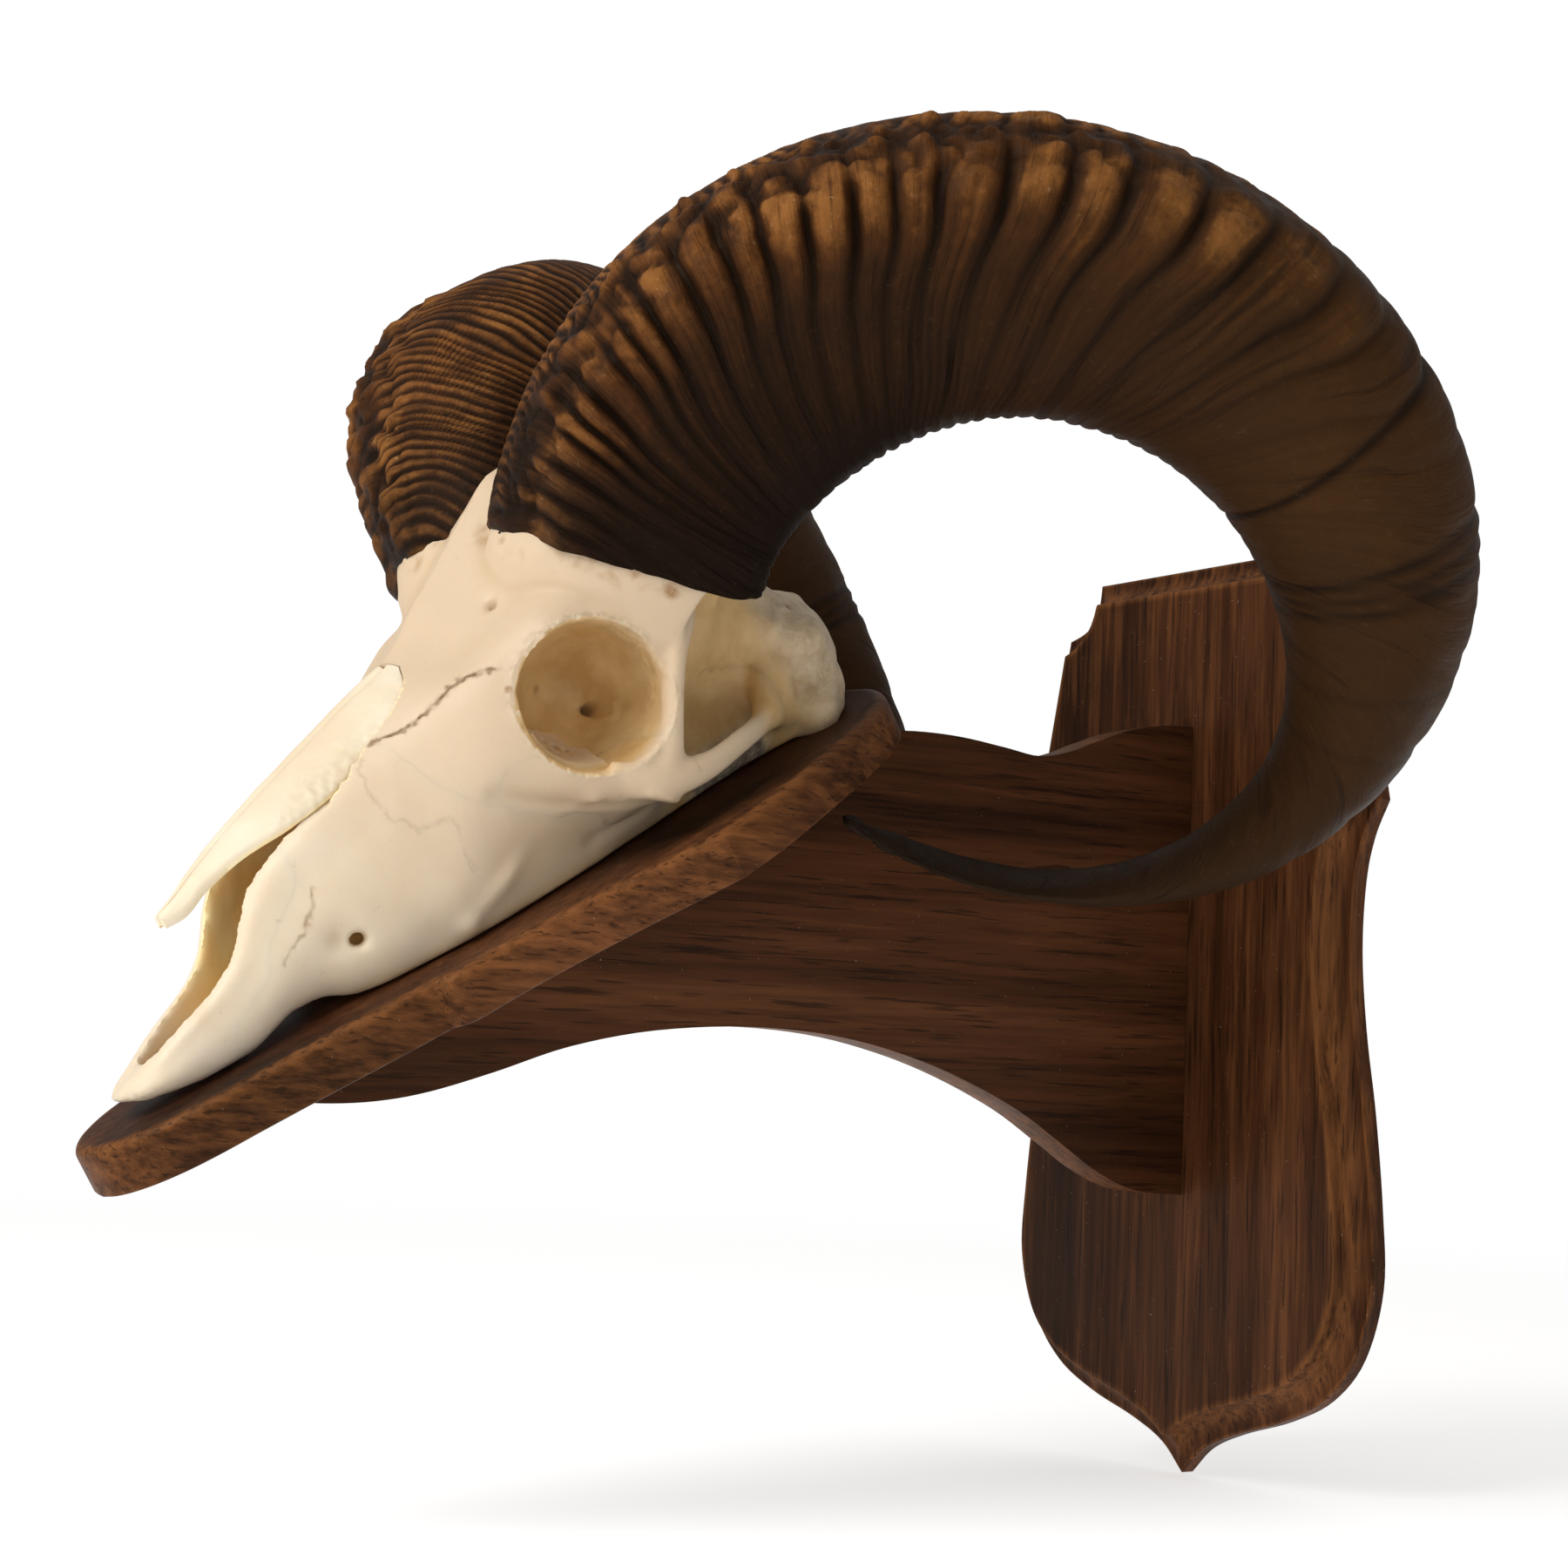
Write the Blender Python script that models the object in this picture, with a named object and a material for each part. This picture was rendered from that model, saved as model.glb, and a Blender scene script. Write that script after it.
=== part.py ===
"""A mouflon-type ram's skull with both horns, on its own wooden wall mount.

The mount is a moulded shield plate that lies on the wall, an arm that stands out
from it, and a board that slopes down to the front and carries the skull.

Frame: metres, +Z up. The wall is the plane y = 0 and the piece looks towards -Y.
The origin is the middle of the plate's back face. +X is the animal's left.
The skull and the board are drawn in the board's own frame, an empty called
"board_frame": x across, y up the slope towards the wall, z square to the board,
with z = 0 on its upper face. Sizes below are millimetres; `mm` turns them to metres.
"""

from math import cos, exp, pi, radians, sin, tan

import bmesh
import bpy
import numpy as np
from mathutils import Matrix, Vector

# ---------------------------------------------------------------- driving sizes

GAP = 0.3                    # clearance between pieces that touch

PLATE_HEIGHT = 300.0         # wall plate, tip to top
PLATE_THICK = 14.0
PLATE_FILLET = 5.3           # square edge left at the wall
PLATE_COVE = 9.5             # how far the moulding steps in to the front face
# half width at each height above the tip: ogee tip, belly, waist, shoulder
PLATE_OUTLINE = ((0, 0), (10, 8.9), (24.5, 15.1), (45.3, 21.5), (63, 30), (76, 44),
                 (83, 66), (82, 90), (78.4, 119), (73.8, 145), (71.4, 170), (72.5, 192),
                 (76, 206), (81.9, 217.3))
PLATE_SHOULDER = (68.0, 281.8)   # lower end of the scooped top corner
PLATE_TOP = (52.0, 300.0)        # upper end of the scoop; the top edge is flat

BOARD_SLOPE = 32.0           # degrees below level, towards the front
BOARD_ORIGIN = (0.0, -300.0, 3.0)
BOARD_THICK = 14.0
BOARD_ROUND = 3.0
# half width along the slope, from the nose: two lobes that meet at small points
BOARD_NOSE = ((0, -104), (8, -102.5), (16, -97.5), (22.5, -89.5), (26.5, -80),
              (29.5, -68), (34, -52), (39, -36), (42.5, -24), (44.5, -16))
BOARD_MIDDLE = ((51.5, -8), (53, 4), (56.5, 18), (62.5, 36), (69, 52), (74.5, 66))
BOARD_REAR = ((72.5, 82), (68, 98), (62.5, 114), (56.5, 130), (48.5, 146),
              (38, 158), (25, 165.5), (12, 168))

ARM_WIDTH = 13.0
ARM_ROUND = 2.2
# side view of the arm, distance from the wall and height, from the plate forward
ARM_TOP = ((14.3, 94.6), (28, 93.6), (42, 90.6), (56, 85.6), (68, 81), (80, 78.6),
           (94, 80), (112, 81.6), (130, 81.6), (146, 80))
ARM_BELLY = ((337, -37.3), (324, -38), (308, -37), (292, -34), (272, -28), (248, -20),
             (220, -14.4), (188, -12), (158, -13.2), (132, -17.6), (108, -24.4),
             (84, -34), (66, -44), (50, -53), (34, -58.4), (14.3, -59.6))

# Skull, in the board's frame. y runs from the muzzle (-89) to the occiput (+167).
BONE_WALL = 3.0
VOXEL = 1.1                  # grain at which the skull's forms are fused
SOFTEN = 3
SKULL_FACES = 2400           # triangles kept for the skull
NASION = 34.0                # rear end of the nasal bones
# Each row is one cross-section: place y, roof height on the midline, then the
# half width and height of roof edge, brow, cheek, hollow under the cheek, and foot.
SKULL_SECTIONS = (
    (-89, 7.6, (1.5, 7.8), (3, 7.4), (4, 6.6), (3, 5.6), (1.5, 5.4)),
    (-86, 8.8, (3, 9.2), (6, 8.2), (8.5, 6.4), (7.5, 4.6), (5, 4.0)),
    (-80, 11, (6, 11.4), (8.8, 9.2), (11, 6.5), (10, 3.4), (7, 2.6)),
    (-67, 16, (10, 16.4), (12.2, 12.5), (13.5, 7.5), (12.5, 2.4), (9.5, 0.9)),
    (-55, 20.5, (12, 20.8), (14.2, 15.5), (15.5, 9), (14.5, 3), (11, 0.8)),
    (-46, 27, (13, 27.3), (15.5, 20), (17, 12), (15.5, 5.4), (12, 3)),
    (-40, 35, (14, 35.3), (17, 26), (18.5, 16), (16.5, 8), (13, 4.8)),
    (-32, 41.4, (16, 42), (19.5, 32), (21, 20), (18.5, 9), (14.5, 4.6)),
    (-24, 45, (17, 45.4), (22, 35), (24.5, 22), (22.5, 7.5), (19, 1.2)),
    (-16, 48, (17.6, 48.2), (23.8, 37), (27, 23), (26.5, 9), (23.5, 0.3)),
    (-5, 51.5, (18, 51.8), (25.5, 40), (29.5, 26), (30.3, 11), (27.5, 0.3)),
    (8, 65, (18, 57.6), (28, 46), (33, 29), (35, 13), (31.5, 0.3)),
    (20, 69, (19.5, 62), (32, 51), (38.5, 36), (36.5, 15), (33, 0.3)),
    (30, 71.7, (22, 65.5), (36, 57), (44.5, 38), (36.5, 15), (33.5, 0.3)),
    (40, 76, (24, 68), (41.5, 60.5), (50, 33), (37, 14), (33.5, 0.3)),
    (50, 83, (26, 72), (46.5, 63.5), (54, 26), (37.5, 12), (33, 0.3)),
    (60, 89, (28, 76), (51.5, 65.5), (57, 20), (39, 9), (31, 0.3)),
    (70, 95, (31, 81), (52.5, 64.5), (58.5, 16), (41, 9), (30, 0.3)),
    (80, 101, (34, 86), (55, 62.5), (48, 18), (36, 10), (29, 0.3)),
    (90, 106, (36, 89), (55.5, 59.5), (37, 26), (34, 12), (28, 0.3)),
    (100, 107, (36, 87), (50, 57), (34, 30), (32, 14), (27, 0.3)),
    (110, 100, (35, 82), (42, 53), (33, 30), (31, 13), (27, 0.3)),
    (120, 84, (33, 70), (36, 48), (33, 28), (32, 12), (28, 0.3)),
    (130, 65, (30, 57), (34, 42), (34, 26), (34.5, 11), (31, 0.3)),
    (140, 50, (26, 45), (32, 35), (36.5, 21), (39.5, 10), (36.5, 0.3)),
    (149, 43, (22, 38.5), (29.5, 28), (33, 19), (34, 8), (30, 0.3)),
    (156, 39.5, (17, 35), (24, 24), (26, 14), (24, 7), (19, 0.8)),
    (162, 37, (12, 32.5), (17.5, 23), (18, 13.5), (14, 7), (9, 4)),
    (168, 29, (6, 27), (10, 20), (10, 14), (8, 10), (5, 8)),
)
# nasal bones: y, roof height, half width and height of the outer edge
NASAL_SECTIONS = ((-57, 43.0, 2.6, 41.4), (-53, 44.6, 5, 40.8), (-44, 48.6, 8, 43.6),
                  (-33, 53, 11, 47), (-18, 58, 14, 50.8), (-4, 62.2, 16, 53.6),
                  (8, 65.6, 17.2, 57), (20, 69, 18, 61.4), (29, 71.2, 15, 66.2),
                  (NASION, 72.4, 8, 71))
NASAL_THICK = 3.0

ORBIT_CENTRE = (54.0, 60.0, 45.0)
ORBIT_RADII = (38.0, 20.8, 20.4)     # deep across, round in side view
ORBIT_TURN = 14.0                    # degrees: the bottom of the socket lies further back
# temporal fossa in side view, behind the bar that closes the orbit
FOSSA_OUTLINE = ((73, 4), (70, 21), (76, 36), (84, 48), (94, 55), (104, 57), (115, 53),
                 (126, 43), (129, 32), (126, 22), (122, 12), (121, 4))
FOSSA_DEPTH = (33.5, 80.0)
# zygomatic arch, front to back: centre, half height and half width
ARCH = (((53, 56, 22), 6, 3), ((57, 65, 17.5), 5, 2.8), ((58, 74, 15.3), 4.2, 2.5),
        ((57, 84, 14), 3, 2.2), ((54, 95, 14.8), 2.8, 2.2), ((49, 106, 15.2), 3, 2.4),
        ((42.5, 117, 14.8), 4, 3), ((34, 127, 16), 6, 4))
# post-orbital bar, bottom to top: centre, half depth across and half width along
BAR = (((56, 65, 13), 3.4, 5), ((57.5, 71, 21), 2.8, 3.8), ((58, 76.5, 29), 2.6, 2.9),
       ((57.5, 81.5, 37), 2.5, 2.9), ((56.5, 87, 45), 2.8, 3.4), ((53, 94, 52), 4, 5),
       ((46, 100, 60), 7, 7))

# Horns: a flattened spiral about a tilted axis. t runs from 0 at the base to 1 at
# the tip. Angles in degrees.
HORN_CENTRE = (98.8, -189.4, 72.8)
HORN_YAW, HORN_TILT = -52.9, 20.7
HORN_RADIUS = 101.0
HORN_TIGHTEN = (1.23, -2.58, 0.67)   # radius = HORN_RADIUS * exp(a t + b t^2 + c t^3)
HORN_START, HORN_SWEEP = 27.7, 287.2
HORN_DRIFT = (-95.2, -318.3)         # travel along the axis, in t and t^2
HORN_TIP_X = 50.0                    # where the tip ends, out from the midline
HORN_DEPTH = ((0, 41), (0.12, 44.6), (0.28, 40.7), (0.45, 32.8), (0.65, 13.8),
              (0.85, 4.6), (1, 3.2))
HORN_WIDTH = ((0, 28.5), (0.12, 41), (0.28, 43), (0.45, 36), (0.65, 20), (0.85, 15),
              (1, 4))
HORN_ROOT = 3.0              # the sheath's rim reaches this far below t = 0
HORN_APART = 5.5             # no horn comes nearer the midline than this
HORN_RINGS, HORN_SIDES = 34, 16
PEDICLE_INSET = 2.5                  # the sheath's rim stands out past the bone

# ---------------------------------------------------------------- small helpers

mm = 0.001


def fresh_scene():
    for obj in list(bpy.data.objects):
        bpy.data.objects.remove(obj, do_unlink=True)


def material(name, colour, roughness):
    made = bpy.data.materials.new(name)
    made.use_nodes = True
    shader = made.node_tree.nodes["Principled BSDF"]
    shader.inputs["Base Color"].default_value = (*colour, 1)
    shader.inputs["Roughness"].default_value = roughness
    shader.inputs["Metallic"].default_value = 0.0
    return made


def even_curve(places, values, at):
    """Smooth curve through (place, value) pairs that never swings past them."""
    x, y = np.asarray(places, float), np.asarray(values, float)
    step = np.diff(x)
    slope = np.diff(y) / step
    tangent = np.empty_like(y)
    tangent[0], tangent[-1] = slope[0], slope[-1]
    for i in range(1, len(x) - 1):
        a, b = slope[i - 1], slope[i]
        tangent[i] = 0 if a * b <= 0 else 3 * (step[i - 1] + step[i]) / (
            (2 * step[i] + step[i - 1]) / a + (step[i] + 2 * step[i - 1]) / b)
    k = int(np.clip(np.searchsorted(x, at, side="right") - 1, 0, len(step) - 1))
    s = (at - x[k]) / step[k]
    return float(y[k] * (1 + 2 * s) * (1 - s) ** 2 + y[k + 1] * s * s * (3 - 2 * s)
                 + step[k] * s * (1 - s) * (tangent[k] * (1 - s) - tangent[k + 1] * s))


def bowed(points, steps):
    """Points along a Catmull-Rom curve through the given ones, ends included."""
    p = [Vector(q) for q in points]
    p = [2 * p[0] - p[1]] + p + [2 * p[-1] - p[-2]]
    out = []
    for a, b, c, d in zip(p, p[1:], p[2:], p[3:]):
        for i in range(steps):
            s = i / steps
            out.append(0.5 * (2 * b + (c - a) * s + (2 * a - 5 * b + 4 * c - d) * s * s
                              + (3 * b - a - 3 * c + d) * s ** 3))
    return out + [p[-2]]


def put(mesh, name, look=None, parent=None):
    obj = bpy.data.objects.new(name, mesh)
    bpy.context.collection.objects.link(obj)
    if look:
        mesh.materials.append(look)
    if parent:
        obj.parent = parent
    return obj


def loft(rings, name):
    """A closed skin over rings of equal count, flat at both ends, facing out."""
    bm = bmesh.new()
    rows = [[bm.verts.new(Vector(p) * mm) for p in ring] for ring in rings]
    count = len(rings[0])
    for row, after in zip(rows, rows[1:]):
        for i in range(count):
            j = (i + 1) % count
            bm.faces.new((row[i], row[j], after[j]))
            bm.faces.new((row[i], after[j], after[i]))
    bm.faces.new(rows[0])
    bm.faces.new(rows[-1])
    bmesh.ops.recalc_face_normals(bm, faces=bm.faces)
    mesh = bpy.data.meshes.new(name)
    bm.to_mesh(mesh)
    bm.free()
    return mesh


def boolean(target, tool, operation):
    """Adds a Boolean and bakes it at once, so that the tool can go."""
    modifier = target.modifiers.new("cut", "BOOLEAN")
    modifier.operation, modifier.object, modifier.solver = operation, tool, "EXACT"
    bpy.context.view_layer.update()
    graph = bpy.context.evaluated_depsgraph_get()
    baked = bpy.data.meshes.new_from_object(target.evaluated_get(graph))
    target.modifiers.clear()
    target.data = baked
    return target


def drop(*objects):
    for obj in objects:
        bpy.data.objects.remove(obj, do_unlink=True)


def smooth(obj, angle=40):
    for polygon in obj.data.polygons:
        polygon.use_smooth = True
    obj.data.set_sharp_from_angle(angle=radians(angle))


# ---------------------------------------------------------------- wooden mount


def mirrored(half):
    """A whole outline from its +x half, both ends of which lie on the midline or not."""
    other = [Vector((-p[0], p[1])) for p in reversed(half) if p[0] > 1e-6]
    return [Vector((p[0], p[1])) for p in half] + other


def inset(outline, distance):
    """The outline moved inwards, square to each edge, keeping its corners."""
    out, count = [], len(outline)
    for i, p in enumerate(outline):
        a = (p - outline[i - 1]).normalized()
        b = (outline[(i + 1) % count] - p).normalized()
        na, nb = Vector((-a.y, a.x)), Vector((-b.y, b.x))
        corner = (na + nb).normalized()
        out.append(p + corner * distance / max(corner.dot(nb), 0.5))
    return out


def scoop(start, end, bulge, steps):
    """Points of a hollow arc between two corners, which bends in towards the middle."""
    start, end = Vector(start), Vector(end)
    chord = end - start
    inward = Vector((-chord.y, chord.x)).normalized()
    return [start + chord * i / steps + inward * bulge * sin(pi * i / steps)
            for i in range(1, steps)]


def make_plate(look):
    side = bowed(PLATE_OUTLINE, 2)
    half = side + [Vector(PLATE_SHOULDER)] + scoop(PLATE_SHOULDER, PLATE_TOP, 5.5, 5)
    outline = mirrored(half + [Vector(PLATE_TOP)])
    rings = []
    steps = [(0.0, 0.0), (PLATE_FILLET, 0.0), (PLATE_FILLET, 1.2)]
    reach, rise = PLATE_COVE - 2.4, PLATE_THICK - PLATE_FILLET - 1.2
    for i in range(1, 4):            # a hollow quarter round, then a small flat step
        turn = pi / 2 * i / 3
        steps.append((PLATE_FILLET + rise * (1 - cos(turn)), 1.2 + reach * sin(turn)))
    steps += [(PLATE_THICK, 1.2 + reach + 0.4), (PLATE_THICK, PLATE_COVE)]
    for out, distance in steps[:-1]:
        ring = inset(outline, distance) if distance else outline
        rings.append([(p.x, -out, p.y - PLATE_HEIGHT / 2) for p in ring])
    plate = put(loft(rings, "wall_plate"), "wall_plate", look)
    smooth(plate, 30)
    return plate


def make_board(look, frame):
    nose = bowed(BOARD_NOSE, 1)
    middle = bowed(BOARD_MIDDLE, 1)
    rear = bowed((BOARD_MIDDLE[-1],) + BOARD_REAR, 1)
    half = nose + scoop(BOARD_NOSE[-1], BOARD_MIDDLE[0], -1.8, 3) + middle + rear[1:]
    outline = mirrored(half)
    rings = []
    for i in range(3):               # softened lower arris, then the rounded upper one
        turn = pi / 2 * i / 2
        rings.append((1.2 * (1 - sin(turn)), -BOARD_THICK + 1.2 * (1 - cos(turn))))
    for i in range(4):
        turn = pi / 2 * i / 3
        rings.append((BOARD_ROUND * (1 - cos(turn)), -BOARD_ROUND * (1 - sin(turn))))
    skin = []
    for distance, height in rings:
        ring = inset(outline, distance) if distance > 1e-9 else outline
        skin.append([(p.x, p.y, height) for p in ring])
    board = put(loft(skin, "board"), "board", look, frame)
    smooth(board, 30)
    return board


def make_arm(look):
    def below_board(y):
        slope = radians(BOARD_SLOPE)
        drop_to_underside = (BOARD_THICK + GAP) / cos(slope)
        return BOARD_ORIGIN[2] + tan(slope) * (y - BOARD_ORIGIN[1]) - drop_to_underside

    back = PLATE_THICK + GAP
    top = [Vector((-out, z)) for out, z in bowed(ARM_TOP, 1)]
    belly = [Vector((-out, z)) for out, z in bowed(ARM_BELLY, 1)]
    top[0].x = belly[-1].x = -back
    rear_end, front_end = -150.5, -338.5
    under = [Vector((rear_end, below_board(rear_end))), Vector((front_end, below_board(front_end)))]
    outline = top + under + belly
    bm = bmesh.new()
    face = bm.faces.new([bm.verts.new(Vector((-ARM_WIDTH / 2, p.x, p.y)) * mm) for p in outline])
    far = bmesh.ops.extrude_face_region(bm, geom=[face])
    moved = [v for v in far["geom"] if isinstance(v, bmesh.types.BMVert)]
    bmesh.ops.translate(bm, verts=moved, vec=(ARM_WIDTH * mm, 0, 0))
    bmesh.ops.recalc_face_normals(bm, faces=bm.faces)
    free = {round(p.x, 3) for p in top[1:-1] + belly[1:-1]}

    def is_free(edge):
        a, b = (v.co / mm for v in edge.verts)
        return abs(a.x - b.x) < 1e-3 and round(a.y, 3) in free and round(b.y, 3) in free

    rims = [e for e in bm.edges if is_free(e)]
    bmesh.ops.bevel(bm, geom=rims, offset=ARM_ROUND * mm, segments=2, profile=0.5,
                    affect="EDGES", clamp_overlap=True)
    mesh = bpy.data.meshes.new("arm")
    bm.to_mesh(mesh)
    bm.free()
    arm = put(mesh, "arm", look)
    smooth(arm, 35)
    return arm


# ---------------------------------------------------------------- horns


def horn_axis(t):
    """Centre of the left horn at t, in the world frame (mm)."""
    yaw, tilt = radians(HORN_YAW), radians(HORN_TILT)
    turn = Matrix.Rotation(yaw, 3, "Z") @ Matrix.Rotation(tilt, 3, "Y")

    def point(s, drift3):
        angle = radians(HORN_START + HORN_SWEEP * s)
        a, b, c = HORN_TIGHTEN
        radius = HORN_RADIUS * exp(a * s + b * s * s + c * s ** 3)
        along = HORN_DRIFT[0] * s + HORN_DRIFT[1] * s * s + drift3 * s ** 3
        spiral = Vector((along, -radius * cos(angle), radius * sin(angle)))
        return Vector(HORN_CENTRE) + turn @ spiral

    drift3 = (HORN_TIP_X - point(1, 0).x) / turn[0][0]
    return point(t, drift3)


def horn_frame(t):
    """Centre, outward direction, sideways direction and tangent at t."""
    here = horn_axis(t)
    tangent = (horn_axis(t + 0.002) - horn_axis(t - 0.002)).normalized()
    yaw, tilt = radians(HORN_YAW), radians(HORN_TILT)
    turn = Matrix.Rotation(yaw, 3, "Z") @ Matrix.Rotation(tilt, 3, "Y")
    angle = radians(HORN_START + HORN_SWEEP * t)
    outward = turn @ Vector((0, -cos(angle), sin(angle)))
    outward = (outward - outward.dot(tangent) * tangent).normalized()
    return here, outward, outward.cross(tangent), tangent


def horn_ring(t, grow=0.0, sides=HORN_SIDES, slide=0.0):
    here, outward, across, tangent = horn_frame(t)
    depth = even_curve(*zip(*HORN_DEPTH), t) + grow
    width = even_curve(*zip(*HORN_WIDTH), t) + grow
    ring = []
    for i in range(sides):
        turn = 2 * pi * i / sides
        egg = 1 + 0.14 * cos(turn)   # fuller on the outer side of the curl
        point = (here + tangent * slide + outward * depth * cos(turn)
                 + across * width * egg * sin(turn))
        short = HORN_APART - grow - point.x
        ring.append(point + across * max(short, 0) / across.x if short > 0 else point)
    return ring


def make_horn(name, side, look):
    rings = []
    for i in range(HORN_RINGS):
        root = -HORN_ROOT if i == 0 else 0
        ring = horn_ring(i / (HORN_RINGS - 1), slide=root)
        rings.append([(side * p.x, p.y, p.z) for p in ring])
    tip, _, _, tangent = horn_frame(1.0)
    rings.append([(side * q.x, q.y, q.z) for q in
                  (tip + tangent * 2.5 + (p - tip) * 0.45 for p in horn_ring(1.0))])
    horn = put(loft(rings, name), name, look)
    smooth(horn, 50)
    return horn


def pedicle(side, to_frame):
    """The bony stump inside the sheath's mouth, from deep in the skull to the base."""
    rings = []
    for slide, grow in ((-46, -16), (-20, -PEDICLE_INSET - 3), (-8, -PEDICLE_INSET),
                        (-HORN_ROOT - GAP, -PEDICLE_INSET)):
        rings.append([(to_frame @ (Vector((side * p.x, p.y, p.z)) * mm)) / mm
                      for p in horn_ring(0.0, grow, 20, slide)])
    return put(loft(rings, "pedicle"), "pedicle")


def horn_bed(side, to_frame):
    """What the skull gives up to the sheath's lower end, with clearance."""
    rings = [horn_ring(0.0, 1.6 * GAP, slide=-HORN_ROOT - GAP)]
    rings += [horn_ring(i / (HORN_RINGS - 1), 1.6 * GAP) for i in range(1, 13)]
    rings = [[(to_frame @ (Vector((side * p.x, p.y, p.z)) * mm)) / mm for p in ring]
             for ring in rings]
    return put(loft(rings, "horn_bed"), "horn_bed")


# ---------------------------------------------------------------- skull


def section_points(y):
    """The named points of one half section at y, from roof to foot."""
    places = [row[0] for row in SKULL_SECTIONS]
    roof = even_curve(places, [row[1] for row in SKULL_SECTIONS], y)
    points = [Vector((0, roof))]
    for k in range(2, 7):
        points.append(Vector((even_curve(places, [row[k][0] for row in SKULL_SECTIONS], y),
                              even_curve(places, [row[k][1] for row in SKULL_SECTIONS], y))))
    return points


def skull_ring(y, steps=2, wall=0.0):
    half = bowed(section_points(y), steps)
    foot = half[-1].y
    half.append(Vector((half[-1].x * 0.5, foot)))
    if wall:                          # the same section, drawn in by the bone's thickness
        middle = Vector((0, (half[0].y + foot) / 2))
        half = [p - (p - middle).normalized() * wall for p in half]
        half[0].x = 0.0
    ring = half + [Vector((0, half[-1].y))] + [Vector((-p.x, p.y)) for p in reversed(half[1:])]
    return [(p.x, y, p.y) for p in ring]


def make_hull():
    places = []
    for row, after in zip(SKULL_SECTIONS, SKULL_SECTIONS[1:]):
        places.append(row[0])
        if after[0] - row[0] > 7:
            places.append((row[0] + after[0]) / 2)
    places.append(SKULL_SECTIONS[-1][0])
    return put(loft([skull_ring(y) for y in places], "skull"), "skull")


def nasal_section(y, side, above=0.0, below=0.0, wide=0.0, inner=GAP / 2):
    """One nasal bone's section: an arched strip from the midline to its outer edge."""
    places = [row[0] for row in NASAL_SECTIONS]
    at = min(max(y, places[0]), places[-1])
    roof, edge, low = (even_curve(places, [row[k] for row in NASAL_SECTIONS], at)
                       for k in (1, 2, 3))
    top, bottom = [], []
    for i in range(6):
        s = i / 5
        x = inner + (edge - inner) * s
        z = roof - (roof - low) * s ** 2.3 - 0.5 * (1 - s) ** 6
        thick = NASAL_THICK * (1 - 0.45 * s)
        top.append((side * x, y, z + above))
        bottom.append((side * x, y, z - thick - below))
    if wide:
        top.append((side * (x + wide), y, z + above))
        bottom.append((side * (x + wide), y, z - thick - below))
    return top + bottom[::-1]


def nasal_places():
    rows = [row[0] for row in NASAL_SECTIONS]
    return sorted(rows + [(a + b) / 2 for a, b in zip(rows, rows[1:]) if b - a > 7])


def make_nasal(name, side, look, frame):
    rings = [nasal_section(y, side) for y in nasal_places()]
    nasal = put(loft(rings, name), name, look, frame)
    smooth(nasal)
    return nasal


def nasal_bed(side):
    """What the skull gives up to a nasal bone: its space, with clearance."""
    rings = [nasal_section(y, side, above=14, below=GAP, wide=1.6 * GAP, inner=-0.1)
             for y in [-75] + nasal_places() + [NASION + GAP]]
    return put(loft(rings, "nasal_bed"), "nasal_bed")


def nasal_cavity():
    """The open passage behind the nasal notch, roofless in front."""
    rings = []
    for y in (-78, -67, -55, -46, -40, -32, -24, -16, -5, 8, 18, 26):
        _, edge, brow, cheek, hollow, foot = section_points(y)
        shrink = 1.0 if y < 10 else 1 - (y - 10) / 24
        wall = BONE_WALL
        floor = foot.y + 3.2 + (edge.y - foot.y) * (1 - shrink) * 0.4
        half = [Vector((max(edge.x - wall, 1.2), edge.y + (10 if y < 0 else -1))),
                Vector((max(edge.x - wall, 1.2), edge.y - 3)),
                Vector((max(brow.x - wall * 1.3, 1.2), min(brow.y - 1, edge.y - 5))),
                Vector((max(cheek.x - wall * 1.6, 1.2), cheek.y)),
                Vector((max(foot.x - wall, 1.0), floor))]
        half = [Vector((p.x * (0.55 + 0.45 * shrink), p.y)) for p in half]
        rings.append([(p.x, y, p.y) for p in half]
                     + [(-p.x, y, p.y) for p in reversed(half)])
    return put(loft(rings, "cavity"), "cavity")


def ball(centre, radii, turn_z=0.0, segments=24):
    bm = bmesh.new()
    bmesh.ops.create_uvsphere(bm, u_segments=segments, v_segments=segments // 2, radius=1)
    place = (Matrix.Translation(Vector(centre) * mm) @ Matrix.Rotation(radians(turn_z), 4, "Z")
             @ Matrix.Diagonal((*(Vector(radii) * mm), 1)) @ Matrix.Rotation(pi / 2, 4, "Y"))
    bmesh.ops.transform(bm, matrix=place, verts=bm.verts)
    mesh = bpy.data.meshes.new("ball")
    bm.to_mesh(mesh)
    bm.free()
    return put(mesh, "ball")


def prism(outline, low, high, name="prism"):
    """A side-view outline (y, z) pushed through from x = low to x = high."""
    return put(loft([[(x, y, z) for y, z in outline] for x in (low, high)], name), name)


def arch_bar(side):
    rings = []
    for (x, y, z), high, wide in ARCH:
        ring = []
        for i in range(10):
            turn = 2 * pi * i / 10
            ring.append((side * (x + wide * cos(turn)), y, z + high * sin(turn)))
        rings.append(ring)
    return put(loft(rings, "arch"), "arch")


def orbit_bar(side):
    rings = []
    for (x, y, z), across, along in BAR:
        ring = []
        for i in range(10):
            turn = 2 * pi * i / 10
            ring.append((side * (x + across * cos(turn)), y + 0.8 * along * sin(turn),
                         z - 0.6 * along * sin(turn)))
        rings.append(ring)
    return put(loft(rings, "bar"), "bar")


def joined(objects, name):
    """One object holding the shells of several, which it replaces."""
    bm = bmesh.new()
    for obj in objects:
        bm.from_mesh(obj.data)
    mesh = bpy.data.meshes.new(name)
    bm.to_mesh(mesh)
    bm.free()
    drop(*objects)
    return put(mesh, name)


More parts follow.
